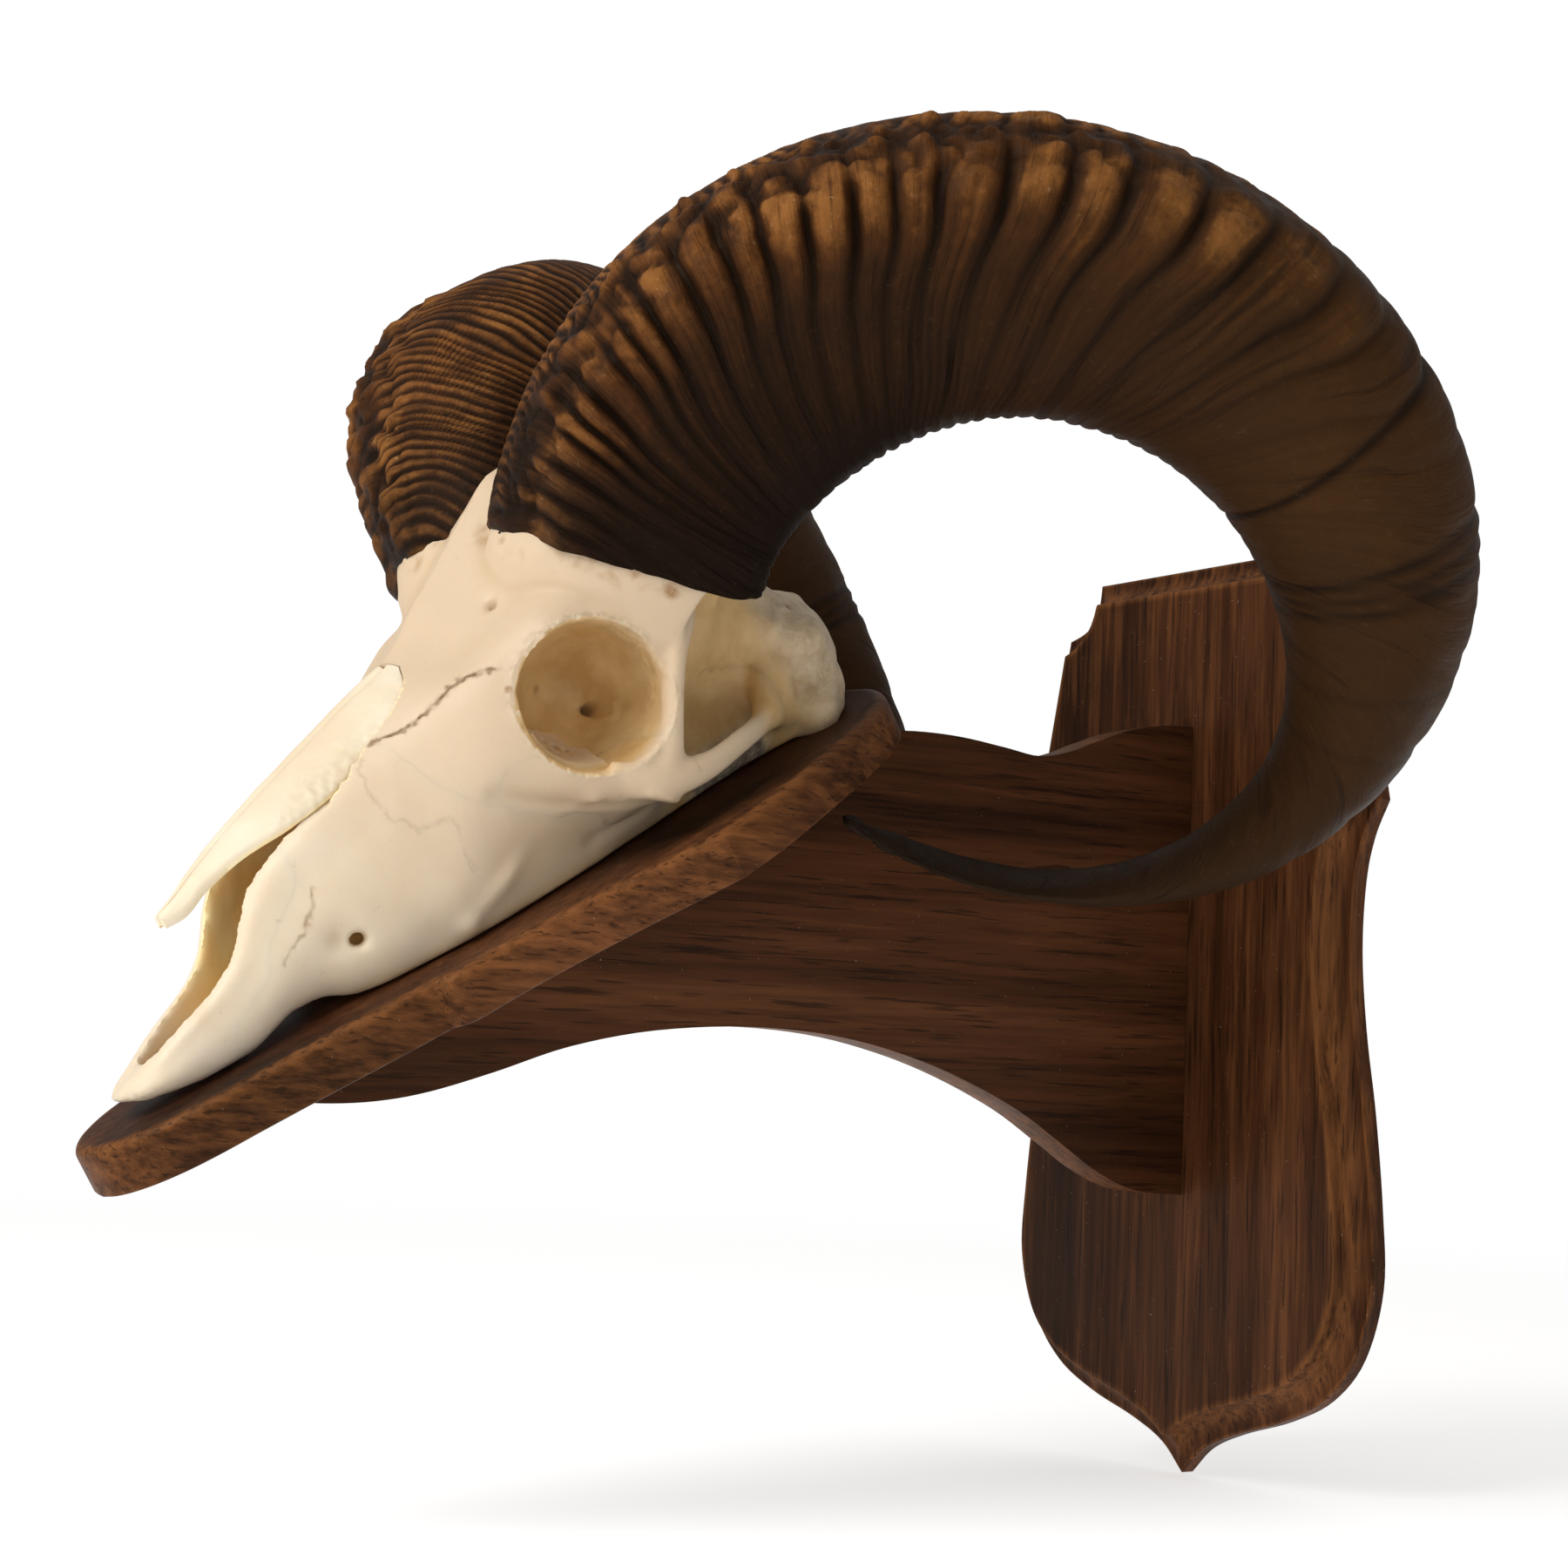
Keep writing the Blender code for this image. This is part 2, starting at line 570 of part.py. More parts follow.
def bake(obj, kind, **settings):
    """Applies one modifier at once."""
    modifier = obj.modifiers.new(kind, kind)
    for key, value in settings.items():
        setattr(modifier, key, value)
    bpy.context.view_layer.update()
    graph = bpy.context.evaluated_depsgraph_get()
    baked = bpy.data.meshes.new_from_object(obj.evaluated_get(graph))
    obj.modifiers.clear()
    obj.data = baked
    return obj


def whole_skull(frame):
    """Every bone but the nasals as one smooth body, before it is parted at the sutures."""
    inverse = frame.matrix_world.inverted()
    solids, hollows, arches = [make_hull()], [nasal_cavity()], []
    for side in (1, -1):
        solids.append(pedicle(side, inverse))
        x, y, z = ORBIT_CENTRE
        hollows.append(ball((side * x, y, z), ORBIT_RADII, -side * ORBIT_TURN))
        hollows.append(prism(FOSSA_OUTLINE, *sorted(side * depth for depth in FOSSA_DEPTH)))
        hollows.append(ball((side * 44, 78, 36), (15, 15, 16)))
        arches += [arch_bar(side), orbit_bar(side)]
    skull = bake(joined(solids, "skull"), "REMESH", mode="VOXEL", voxel_size=VOXEL * mm)
    hollow = bake(joined(hollows, "hollow"), "REMESH", mode="VOXEL", voxel_size=VOXEL * mm)
    boolean(skull, hollow, "DIFFERENCE")
    drop(hollow)
    skull = bake(joined([skull] + arches, "skull"), "REMESH", mode="VOXEL", voxel_size=VOXEL * mm)
    bake(skull, "SMOOTH", factor=0.5, iterations=SOFTEN)
    bake(skull, "DECIMATE", ratio=SKULL_FACES / (2 * len(skull.data.polygons)))
    bm = bmesh.new()
    bm.from_mesh(skull.data)
    bmesh.ops.symmetrize(bm, input=bm.verts[:] + bm.edges[:] + bm.faces[:],
                         direction="X", dist=1e-5)
    bm.to_mesh(skull.data)
    bm.free()
    for bed in (nasal_bed(1), nasal_bed(-1), horn_bed(1, inverse), horn_bed(-1, inverse)):
        boolean(skull, bed, "DIFFERENCE")
        drop(bed)
    return skull


# Where the bones meet, in side view (y, z). Each bone is the whole skull inside
# its own outline, and neighbours stop GAP short of each other.
INCISIVE_SUTURE = ((-60, -4), (-58, 8), (-51, 13), (-44, 17), (-39, 25), (-32, 31),
                   (-26, 38), (-22, 62))
FACE_SUTURE = ((58, -4), (56, 8), (52, 14.5), (36, 22), (26, 30), (17, 40), (14, 50),
               (11, 62))
MALAR_OUTLINE = ((37, 22), (52, 14.9), (57, 9), (80, 6), (104, 8), (106, 22), (90, 22),
                 (80, 27), (70, 27.5), (52, 28), (41, 37), (31, 38), (27, 30.6))


def shifted(line, by):
    return tuple((y + by, z) for y, z in line)


def part_bone(skull, outline, low, high, name, look, frame):
    piece = put(skull.data.copy(), name)
    region = prism(outline, low, high)
    boolean(piece, region, "INTERSECT")
    drop(region)
    piece.data.materials.clear()
    piece.data.materials.append(look)
    piece.parent = frame
    smooth(piece, 45)
    return piece


def make_skull(look, frame):
    skull = whole_skull(frame)
    front = [(-100, 70), (-100, -4)]
    half = GAP / 2
    for side, word in ((1, "left"), (-1, "right")):
        near, far = side * half, side * 70
        part_bone(skull, front + list(INCISIVE_SUTURE), near, far,
                  "premaxilla_" + word, look, frame)
        maxilla = list(shifted(INCISIVE_SUTURE, GAP))[::-1] + list(FACE_SUTURE)
        part_bone(skull, maxilla, near, far, "maxilla_" + word, look, frame)
        part_bone(skull, MALAR_OUTLINE, side * 36, far, "malar_" + word, look, frame)
    cranium = put(skull.data.copy(), "cranium")
    rear = list(shifted(FACE_SUTURE, GAP)) + [(11.3, 130), (180, 130), (180, -4)]
    region = prism(rear, -90, 90)
    boolean(cranium, region, "INTERSECT")
    drop(region)
    grown = [tuple(p) for p in inset([Vector(p) for p in MALAR_OUTLINE], -GAP)]
    for side in (1, -1):
        region = prism(grown, side * (36 - GAP), side * 75)
        boolean(cranium, region, "DIFFERENCE")
        drop(region)
    cranium.data.materials.clear()
    cranium.data.materials.append(look)
    cranium.parent = frame
    smooth(cranium, 45)
    drop(skull)


# ---------------------------------------------------------------- the whole piece


def main():
    fresh_scene()
    wood = material("stained_oak", (0.10, 0.042, 0.02), 0.42)
    bone = material("bleached_bone", (0.78, 0.70, 0.56), 0.5)
    horn = material("dark_horn", (0.09, 0.045, 0.022), 0.45)

    frame = bpy.data.objects.new("board_frame", None)
    bpy.context.collection.objects.link(frame)
    frame.location = Vector(BOARD_ORIGIN) * mm
    frame.rotation_euler = (radians(BOARD_SLOPE), 0, 0)
    bpy.context.view_layer.update()

    make_plate(wood)
    make_arm(wood)
    make_board(wood, frame)
    make_nasal("nasal_left", 1, bone, frame)
    make_nasal("nasal_right", -1, bone, frame)
    make_skull(bone, frame)
    make_horn("horn_left", 1, horn)
    make_horn("horn_right", -1, horn)


main()
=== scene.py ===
# %% [markdown]
# # A ram's skull with both horns, on its own wooden wall mount
#
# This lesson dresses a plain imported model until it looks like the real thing: bleached
# bone, two ribbed horn sheaths, and a stained wooden plate, arm and board. The packed
# solids load first. They fix where everything is, so each piece built here is drawn
# from the same sizes and then takes its solid's place.

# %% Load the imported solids
from contextlib import contextmanager
from itertools import product
from math import cos, exp, pi, radians, sin, tan

import bpy
import numpy as np
from mathutils import Matrix, Vector
from mathutils.kdtree import KDTree


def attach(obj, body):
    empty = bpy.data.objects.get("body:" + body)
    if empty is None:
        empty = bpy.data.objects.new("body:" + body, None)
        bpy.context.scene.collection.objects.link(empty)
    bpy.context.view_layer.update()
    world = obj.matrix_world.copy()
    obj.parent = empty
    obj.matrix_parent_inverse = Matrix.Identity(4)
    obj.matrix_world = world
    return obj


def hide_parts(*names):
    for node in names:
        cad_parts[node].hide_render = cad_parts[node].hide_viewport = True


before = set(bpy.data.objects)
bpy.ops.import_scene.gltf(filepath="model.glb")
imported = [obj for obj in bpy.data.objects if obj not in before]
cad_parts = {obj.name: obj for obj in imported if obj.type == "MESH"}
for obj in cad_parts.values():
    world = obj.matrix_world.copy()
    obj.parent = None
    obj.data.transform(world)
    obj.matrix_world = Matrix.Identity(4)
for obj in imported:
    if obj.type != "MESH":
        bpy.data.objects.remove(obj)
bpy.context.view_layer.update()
print("packed solids:", sorted(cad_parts))

# %% [markdown]
# The camera stands where the photographer stood: in front of the animal's left
# cheek, a little below the middle, with the picture turned by two degrees. A camera
# could be aimed with a constraint, but writing its three directions down keeps the
# framing exact and easy to read.

# %% Camera
MM = 0.001
CAMERA_PLACE = (0.70533, -0.66125, -0.02463)
CAMERA_TURN, CAMERA_RISE, CAMERA_ROLL = 55.36, 5.74, 2.28   # degrees
CAMERA_LENS, CAMERA_SENSOR = 65.606, 36.0


def camera_directions(turn, rise, roll):
    """Right, up and backward directions of a camera, from its angles in degrees."""
    a, e, r = radians(turn), radians(rise), radians(roll)
    ahead = Vector((-sin(a) * cos(e), cos(a) * cos(e), sin(e)))
    right = Vector((cos(a), sin(a), 0))
    up = right.cross(ahead)
    return cos(r) * right + sin(r) * up, cos(r) * up - sin(r) * right, -ahead


lens = bpy.data.cameras.new("camera")
lens.lens, lens.sensor_width, lens.sensor_fit = CAMERA_LENS, CAMERA_SENSOR, "HORIZONTAL"
lens.clip_start, lens.clip_end = 0.01, 50
camera = bpy.data.objects.new("camera", lens)
bpy.context.collection.objects.link(camera)
camera_axes = Matrix(camera_directions(CAMERA_TURN, CAMERA_RISE, CAMERA_ROLL)).transposed()
camera.matrix_world = Matrix.Translation(CAMERA_PLACE) @ camera_axes.to_4x4()
bpy.context.scene.camera = camera
bpy.context.scene.view_settings.view_transform = "Standard"
print("camera", tuple(round(v, 3) for v in camera.location))

# %% [markdown]
# Soft studio light comes from one large panel up on the left, a weak one on the
# right, and a pale surround. The floor is plain: it is white, fades into the surround
# with distance so that no horizon shows, and only takes the shadow.

# %% Light and floor
FLOOR, FLOOR_RADIUS = -0.1512, 6.0      # metres: just below the plate's tip, out of sight
SURROUND, SURROUND_STRENGTH = (1, 0.985, 0.96, 1), 0.42


def panel(name, place, aim, size, power, colour=(1, 1, 1)):
    """A square soft light at a place, turned towards a point."""
    light = bpy.data.lights.new(name, "AREA")
    light.shape, light.size, light.energy, light.color = "SQUARE", size, power, colour
    lamp = bpy.data.objects.new(name, light)
    bpy.context.collection.objects.link(lamp)
    lamp.location = place
    lamp.rotation_euler = (Vector(aim) - Vector(place)).to_track_quat("-Z", "Y").to_euler()
    return lamp


panel("key_light", place=(0.1, -1.4, 0.9), aim=(0, -0.22, 0.05), size=0.9, power=17,
      colour=(1, 0.98, 0.95))
panel("fill_light", place=(1.5, -0.2, 0.5), aim=(0, -0.2, 0.05), size=1.4, power=1.6)

world = bpy.data.worlds.new("surround")
bpy.context.scene.world = world
world.use_nodes = True
tree = world.node_tree
tree.nodes.clear()
seen = tree.nodes.new("ShaderNodeBackground")
seen.inputs["Color"].default_value = (1, 1, 1, 1)
lit = tree.nodes.new("ShaderNodeBackground")
lit.inputs["Color"].default_value = SURROUND
lit.inputs["Strength"].default_value = SURROUND_STRENGTH
rays = tree.nodes.new("ShaderNodeLightPath")
either = tree.nodes.new("ShaderNodeMixShader")
out = tree.nodes.new("ShaderNodeOutputWorld")
tree.links.new(rays.outputs["Is Camera Ray"], either.inputs[0])
tree.links.new(lit.outputs[0], either.inputs[1])
tree.links.new(seen.outputs[0], either.inputs[2])
tree.links.new(either.outputs[0], out.inputs[0])

bpy.ops.object.select_all(action="DESELECT")
bpy.ops.mesh.primitive_circle_add(vertices=96, radius=FLOOR_RADIUS, fill_type="NGON",
                                  location=(0, -0.2, FLOOR))
floor = bpy.context.object
floor.name = "floor"
print("two lights, a surround, and a floor at", FLOOR)

# %% [markdown]
# Materials are small node trees. These helpers keep each recipe short: one makes a
# material with its shader, the others add a noise, a colour ramp, a blend or some
# arithmetic and return the socket that carries the result.

# %% Node helpers


class Recipe:
    """A material under construction, on the piece's own object coordinates."""

    def __init__(self, name, roughness):
        self.material = bpy.data.materials.new(name)
        self.material.use_nodes = True
        self.nodes = self.material.node_tree.nodes
        self.links = self.material.node_tree.links
        self.shader = self.nodes["Principled BSDF"]
        self.shader.inputs["Roughness"].default_value = roughness
        self.place = self.nodes.new("ShaderNodeTexCoord").outputs["Object"]

    def feed(self, socket, value):
        """Links a socket to another one, or sets it to a value."""
        if isinstance(value, bpy.types.NodeSocket):
            self.links.new(value, socket)
        else:
            socket.default_value = value

    def scaled(self, scale, turn=(0, 0, 0), source=None):
        """A pattern space, stretched where its scale is small and turned (degrees)."""
        node = self.nodes.new("ShaderNodeMapping")
        self.feed(node.inputs["Vector"], source or self.place)
        node.inputs["Scale"].default_value = scale
        node.inputs["Rotation"].default_value = [radians(v) for v in turn]
        return node.outputs[0]

    def noise(self, source, scale, detail=3.0, rough=0.5, warp=0.0):
        """Cloudy noise from 0 to 1, about 1 / scale metres from cloud to cloud."""
        node = self.nodes.new("ShaderNodeTexNoise")
        self.feed(node.inputs["Vector"], source)
        for key, value in (("Scale", scale), ("Detail", detail), ("Roughness", rough),
                           ("Distortion", warp)):
            node.inputs[key].default_value = value
        return node.outputs["Fac"]

    def cells(self, source, scale):
        """Distance to the middle of the nearest of many random cells."""
        node = self.nodes.new("ShaderNodeTexVoronoi")
        self.feed(node.inputs["Vector"], source)
        node.inputs["Scale"].default_value = scale
        return node.outputs["Distance"]

    def attribute(self, name):
        """A value painted on the piece's points."""
        node = self.nodes.new("ShaderNodeAttribute")
        node.attribute_name = name
        return node.outputs["Fac"]

    def ramp(self, value, *stops):
        """Colours or greys at places from 0 to 1, blended between."""
        node = self.nodes.new("ShaderNodeValToRGB")
        self.feed(node.inputs[0], value)
        points = node.color_ramp.elements
        while len(points) < len(stops):
            points.new(0.5)
        for point, (at, colour) in zip(points, stops):
            point.position = at
            point.color = (*colour, 1) if isinstance(colour, tuple) else (colour,) * 3 + (1,)
        return node.outputs["Color"]

    def sum_of(self, operation, a, b):
        """One sum on two numbers or sockets; plus, minus and times name the kinds."""
        node = self.nodes.new("ShaderNodeMath")
        node.operation = operation
        self.feed(node.inputs[0], a)
        self.feed(node.inputs[1], b)
        return node.outputs[0]

    def plus(self, a, b):
        return self.sum_of("ADD", a, b)

    def minus(self, a, b):
        return self.sum_of("SUBTRACT", a, b)

    def times(self, a, b):
        return self.sum_of("MULTIPLY", a, b)

    def blend(self, amount, a, b, kind="MIX"):
        """Colour a where the amount is 0, and b where it is 1."""
        node = self.nodes.new("ShaderNodeMix")
        node.data_type, node.blend_type, node.clamp_factor = "RGBA", kind, True
        self.feed(node.inputs[0], amount)
        for socket, value in ((node.inputs[6], a), (node.inputs[7], b)):
            self.feed(socket, (*value, 1) if isinstance(value, tuple) else value)
        return node.outputs[2]

    def emboss(self, height, depth, below=None, strength=1.0):
        """Adds a height pattern, depth in metres, on top of an earlier one."""
        node = self.nodes.new("ShaderNodeBump")
        node.inputs["Strength"].default_value = strength
        node.inputs["Distance"].default_value = depth
        self.feed(node.inputs["Height"], height)
        if below is not None:
            self.links.new(below, node.inputs["Normal"])
        return node.outputs[0]

    def finish(self, colour, roughness, normal):
        """Links what was made to the shader and gives the finished material."""
        self.feed(self.shader.inputs["Base Color"], colour)
        self.feed(self.shader.inputs["Roughness"], roughness)
        self.links.new(normal, self.shader.inputs["Normal"])
        print("finish", self.material.name, len(self.nodes), "nodes")
        return self.material


# %% Floor finish
FADE_NEAR, FADE_FAR = 0.5, 1.9          # metres: where the floor starts and ends its fade
pale = Recipe("studio_floor", 0.9)
pale.shader.inputs["Specular IOR Level"].default_value = 0.1
pale.shader.inputs["Base Color"].default_value = (0.86, 0.86, 0.86, 1)
pale.shader.inputs["Emission Color"].default_value = (1, 1, 1, 1)
pale.shader.inputs["Emission Strength"].default_value = 0.52
reach = pale.nodes.new("ShaderNodeVectorMath")
reach.operation = "LENGTH"
pale.links.new(pale.place, reach.inputs[0])
far_off = pale.nodes.new("ShaderNodeMapRange")
far_off.interpolation_type = "SMOOTHSTEP"
pale.links.new(reach.outputs["Value"], far_off.inputs["Value"])
far_off.inputs["From Min"].default_value = FADE_NEAR
far_off.inputs["From Max"].default_value = FADE_FAR
glow = pale.nodes.new("ShaderNodeEmission")
either = pale.nodes.new("ShaderNodeMixShader")
pale.links.new(far_off.outputs[0], either.inputs[0])
pale.links.new(pale.shader.outputs[0], either.inputs[1])
pale.links.new(glow.outputs[0], either.inputs[2])
pale.links.new(either.outputs[0], pale.nodes["Material Output"].inputs[0])
floor.data.materials.append(pale.material)
print("finish", pale.material.name, len(pale.nodes), "nodes")

# %% [markdown]
# An operator works on whatever is selected, so each step first selects its own piece
# and nothing else. These helpers do that, apply a modifier, and cut one piece with
# another. The MANIFOLD cutter is used because every form here is closed and finely
# divided, and it is quick on such meshes.

# %% Selecting, modifiers and cuts


def alone(piece):
    """Selects one piece, and nothing else."""
    bpy.ops.object.select_all(action="DESELECT")
    piece.select_set(True)
    bpy.context.view_layer.objects.active = piece
    return piece


def apply(piece, kind, **settings):
    """Adds a modifier and applies it at once."""
    alone(piece)
    modifier = piece.modifiers.new(kind, kind)
    for key, value in settings.items():
        setattr(modifier, key, value)
    bpy.ops.object.modifier_apply(modifier=modifier.name)
    return piece


@contextmanager
def editing(select="SELECT"):
    """Edit mode for the steps inside it, with all selected, none, or as it was (None)."""
    bpy.ops.object.mode_set(mode="EDIT")
    if select:
        bpy.ops.mesh.select_all(action=select)
    yield
    bpy.ops.object.mode_set(mode="OBJECT")


def cut(piece, tool, operation="DIFFERENCE"):
    """Cuts a tool out of a piece, or keeps only what both share, and removes the tool."""
    apply(piece, "BOOLEAN", object=tool, operation=operation, solver="MANIFOLD")
    bpy.data.objects.remove(tool, do_unlink=True)
    return piece


def welded(pieces, name):
    """Joins several pieces into one object, each still its own shell."""
    alone(pieces[0])
    for piece in pieces[1:]:
        piece.select_set(True)
    bpy.ops.object.join()
    pieces[0].name = name
    return pieces[0]


def whole(piece):
    """Keeps a piece's largest shell and drops any crumb or closed pocket."""
    name = piece.name
    alone(piece)
    with editing():
        bpy.ops.mesh.separate(type="LOOSE")
    shells = sorted(bpy.context.selected_objects, key=lambda shell: len(shell.data.vertices))
    for crumb in shells[:-1]:
        bpy.data.objects.remove(crumb, do_unlink=True)
    shells[-1].name = name
    return shells[-1]


def copied(piece, name):
    """A copy of a piece with a mesh of its own."""
    twin = piece.copy()
    twin.data = piece.data.copy()
    twin.name = name
    bpy.context.collection.objects.link(twin)
    return twin


# %% Points, painted values and faces


def points_of(piece):
    """A piece's points as rows of x, y and z, in metres."""
    values = np.empty(len(piece.data.vertices) * 3, np.float32)
    piece.data.vertices.foreach_get("co", values)
    return values.reshape(-1, 3).astype(float)


def place_points(piece, points):
    """Moves a piece's points to new places, in metres."""
    piece.data.vertices.foreach_set("co", np.asarray(points, np.float32).ravel())
    piece.data.update()


def paint(piece, name, values):
    """Stores one number for each vertex, which a material can read by name."""
    layer = piece.data.attributes.get(name) or piece.data.attributes.new(name, "FLOAT", "POINT")
    layer.data.foreach_set("value", np.clip(values, 0, 1).astype(np.float32))


def faces_out():
    """Turns all faces of the piece being edited outwards."""
    bpy.ops.mesh.select_all(action="SELECT")
    bpy.ops.mesh.normals_make_consistent(inside=False)


# %% Rolling a tube


def rolled(rings, name):
    """A flat grid rolled into a tube through the rings (mm), seam welded, ends closed."""
    rings = np.asarray([[tuple(p) for p in ring] + [tuple(ring[0])] for ring in rings], float)
    along, around = rings.shape[0] - 1, rings.shape[1] - 1
    bpy.ops.object.select_all(action="DESELECT")
    bpy.ops.mesh.primitive_grid_add(x_subdivisions=around, y_subdivisions=along, size=1)
    tube = bpy.context.object
    tube.name = name
    place_points(tube, rings.reshape(-1, 3) * MM)
    with editing():
        bpy.ops.mesh.remove_doubles(threshold=1e-7)
        bpy.ops.mesh.select_all(action="DESELECT")
        bpy.ops.mesh.select_mode(type="EDGE")
        bpy.ops.mesh.select_non_manifold(extend=False)
        bpy.ops.mesh.fill_holes(sides=0)
        faces_out()
    return tube


# %% Finding, coating and settling


def finder(points):
    """A lookup: it gives the number of the nearest of these points to a place."""
    tree = KDTree(len(points))
    for i, point in enumerate(points):
        tree.insert(point, i)
    tree.balance()
    return lambda place: tree.find(place)[1]


def coat(piece, material):
    """Gives a piece one finish all over."""
    piece.data.materials.clear()
    piece.data.materials.append(material)


def smooth_below(piece, angle):
    """Smooth shading, but crisp along edges sharper than an angle in degrees."""
    alone(piece)
    bpy.ops.object.shade_smooth_by_angle(angle=radians(angle))


def settle(piece, name, slot, *nodes):
    """Names a finished piece and hands it to the frame in place of its solids."""
    piece.name = name
    piece.data.name = name
    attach(piece, "root")
    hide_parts(*nodes)
    return piece


# %% [markdown]
# Two curve helpers carry all the drawn shapes. One blends sizes given at a few places
# and never swings past them, the other bends a smooth line through a few points.
# Noise in space gives the small unevenness that no real bone, horn or board lacks.

# %% Curves and unevenness


def even_curve(places, values, at):
    """Smooth curve through (place, value) pairs, for one place or an array of them."""
    x, y = np.asarray(places, float), np.asarray(values, float)
    step = np.diff(x)
    slope = np.diff(y) / step
    tangent = np.zeros_like(y)
    tangent[0], tangent[-1] = slope[0], slope[-1]
    for i in range(1, len(x) - 1):
        a, b = slope[i - 1], slope[i]
        if a * b > 0:
            tangent[i] = 3 * (step[i - 1] + step[i]) / (
                (2 * step[i] + step[i - 1]) / a + (step[i] + 2 * step[i - 1]) / b)
    k = np.clip(np.searchsorted(x, at, side="right") - 1, 0, len(step) - 1)
    s = (at - x[k]) / step[k]
    return (y[k] * (1 + 2 * s) * (1 - s) ** 2 + y[k + 1] * s * s * (3 - 2 * s)
            + step[k] * s * (1 - s) * (tangent[k] * (1 - s) - tangent[k + 1] * s))


def bowed(points, steps):
    """Points along a smooth curve through the given ones, ends included."""
    p = [Vector(q) for q in points]
    p = [2 * p[0] - p[1]] + p + [2 * p[-1] - p[-2]]
    line = []
    for a, b, c, d in zip(p, p[1:], p[2:], p[3:]):
        for i in range(steps):
            s = i / steps
            line.append(0.5 * (2 * b + (c - a) * s + (2 * a - 5 * b + 4 * c - d) * s * s
                               + (3 * b - a - 3 * c + d) * s ** 3))
    return line + [p[-2]]


def uneven(points, cell, seed):
    """Smooth random values from -1 to 1 in space, with bumps about one cell apart."""
    table = np.random.default_rng(seed).uniform(-1, 1, (64, 64, 64))
    place = np.asarray(points) / cell + 500.0
    base = np.floor(place).astype(int)
    part = place - base
    part = part * part * (3 - 2 * part)
    total = np.zeros(place.shape[:-1])
    for corner in product((0, 1), repeat=3):
        weight = np.prod(np.where(corner, part, 1 - part), axis=-1)
        x, y, z = (((base[..., k] + corner[k]) % 64) for k in range(3))
        total += weight * table[x, y, z]
    return total


def ease(value, low, high):
    """0 below low, 1 above high, and a smooth step between."""
    s = np.clip((value - low) / (high - low), 0, 1)
    return s * s * (3 - 2 * s)


def fall(value, low, high):
    """1 below low, 0 above high, and a smooth step between."""
    return 1 - ease(value, low, high)


print("curve check:", even_curve((0, 1, 2), (0, 1, 0), 0.5))

# %% [markdown]
# ## The wooden mount
#
# The wall plate is a shield with a flat top, scooped corners, a waist and an ogee
# tip. A moulding is cut round its front: a small flat, then a hollow quarter round. A
# curve with a bevel profile could draw that, but a joiner's order is easier to follow
# here: one outline, extruded to the fillet, then inset and raised step by step.

# %% Sizes of the plate
PLATE_HEIGHT, PLATE_THICK, PLATE_FILLET, PLATE_COVE = 300.0, 14.0, 5.3, 9.5
PLATE_OUTLINE = ((0, 0), (10, 8.9), (24.5, 15.1), (45.3, 21.5), (63, 30), (76, 44),
                 (83, 66), (82, 90), (78.4, 119), (73.8, 145), (71.4, 170), (72.5, 192),
                 (76, 206), (81.9, 217.3))
PLATE_SHOULDER, PLATE_TOP = (68.0, 281.8), (52.0, 300.0)
print("plate", PLATE_HEIGHT, "mm high and", 2 * max(x for x, _ in PLATE_OUTLINE), "mm wide")

# %% Drawing outlines


def mirrored(half):
    """A whole outline from its right half."""
    other = [Vector((-p[0], p[1])) for p in reversed(half) if p[0] > 1e-6]
    return [Vector((p[0], p[1])) for p in half] + other


def scoop(start, end, bulge, steps):
    """Points of a hollow arc between two corners."""
    start, end = Vector(start), Vector(end)
    chord = end - start
    inward = Vector((-chord.y, chord.x)).normalized()
    return [start + chord * i / steps + inward * bulge * sin(pi * i / steps)
            for i in range(1, steps)]


def distance_to(outline, point):
    """Shortest distance from a point to a closed outline."""
    best = 1e9
    for a, b in zip(outline, outline[1:] + outline[:1]):
        along = b - a
        s = min(max((point - a).dot(along) / max(along.length_squared, 1e-12), 0), 1)
        best = min(best, (point - a - along * s).length)
    return best


# %% Moving an outline inwards


def corner_of(outline, i, least):
    """The way inwards at a corner, and the share of a step that its edges move by."""
    a = (outline[i] - outline[i - 1]).normalized()
    b = (outline[(i + 1) % len(outline)] - outline[i]).normalized()
    na, nb = Vector((-a.y, a.x)), Vector((-b.y, b.x))
    inwards = (na + nb).normalized()
    return inwards, max(inwards.dot(nb), least)


def inset(outline, distance):
    """The outline moved inwards, square to each edge, keeping its corners.

    Points beside a sharp corner would cross over, so they gather round the nearest one
    that is truly that far in, a hair apart until the piece is merged."""
    if not distance:
        return list(outline)
    inner, count = [], len(outline)
    for i, p in enumerate(outline):
        inwards, share = corner_of(outline, i, 0.35)
        inner.append(p + inwards * distance / share)
    sound = [distance_to(outline, p) > distance * 0.985 for p in inner]
    for i in range(count):
        if not sound[i]:
            step = next(k for k in range(1, count) if sound[(i + k) % count] or sound[i - k])
            host = (i + step) % count if sound[(i + step) % count] else (i - step) % count
            inner[i] = inner[host] + (outline[i] - outline[host]) * 2e-4
    return inner


# %% Extruding in layers


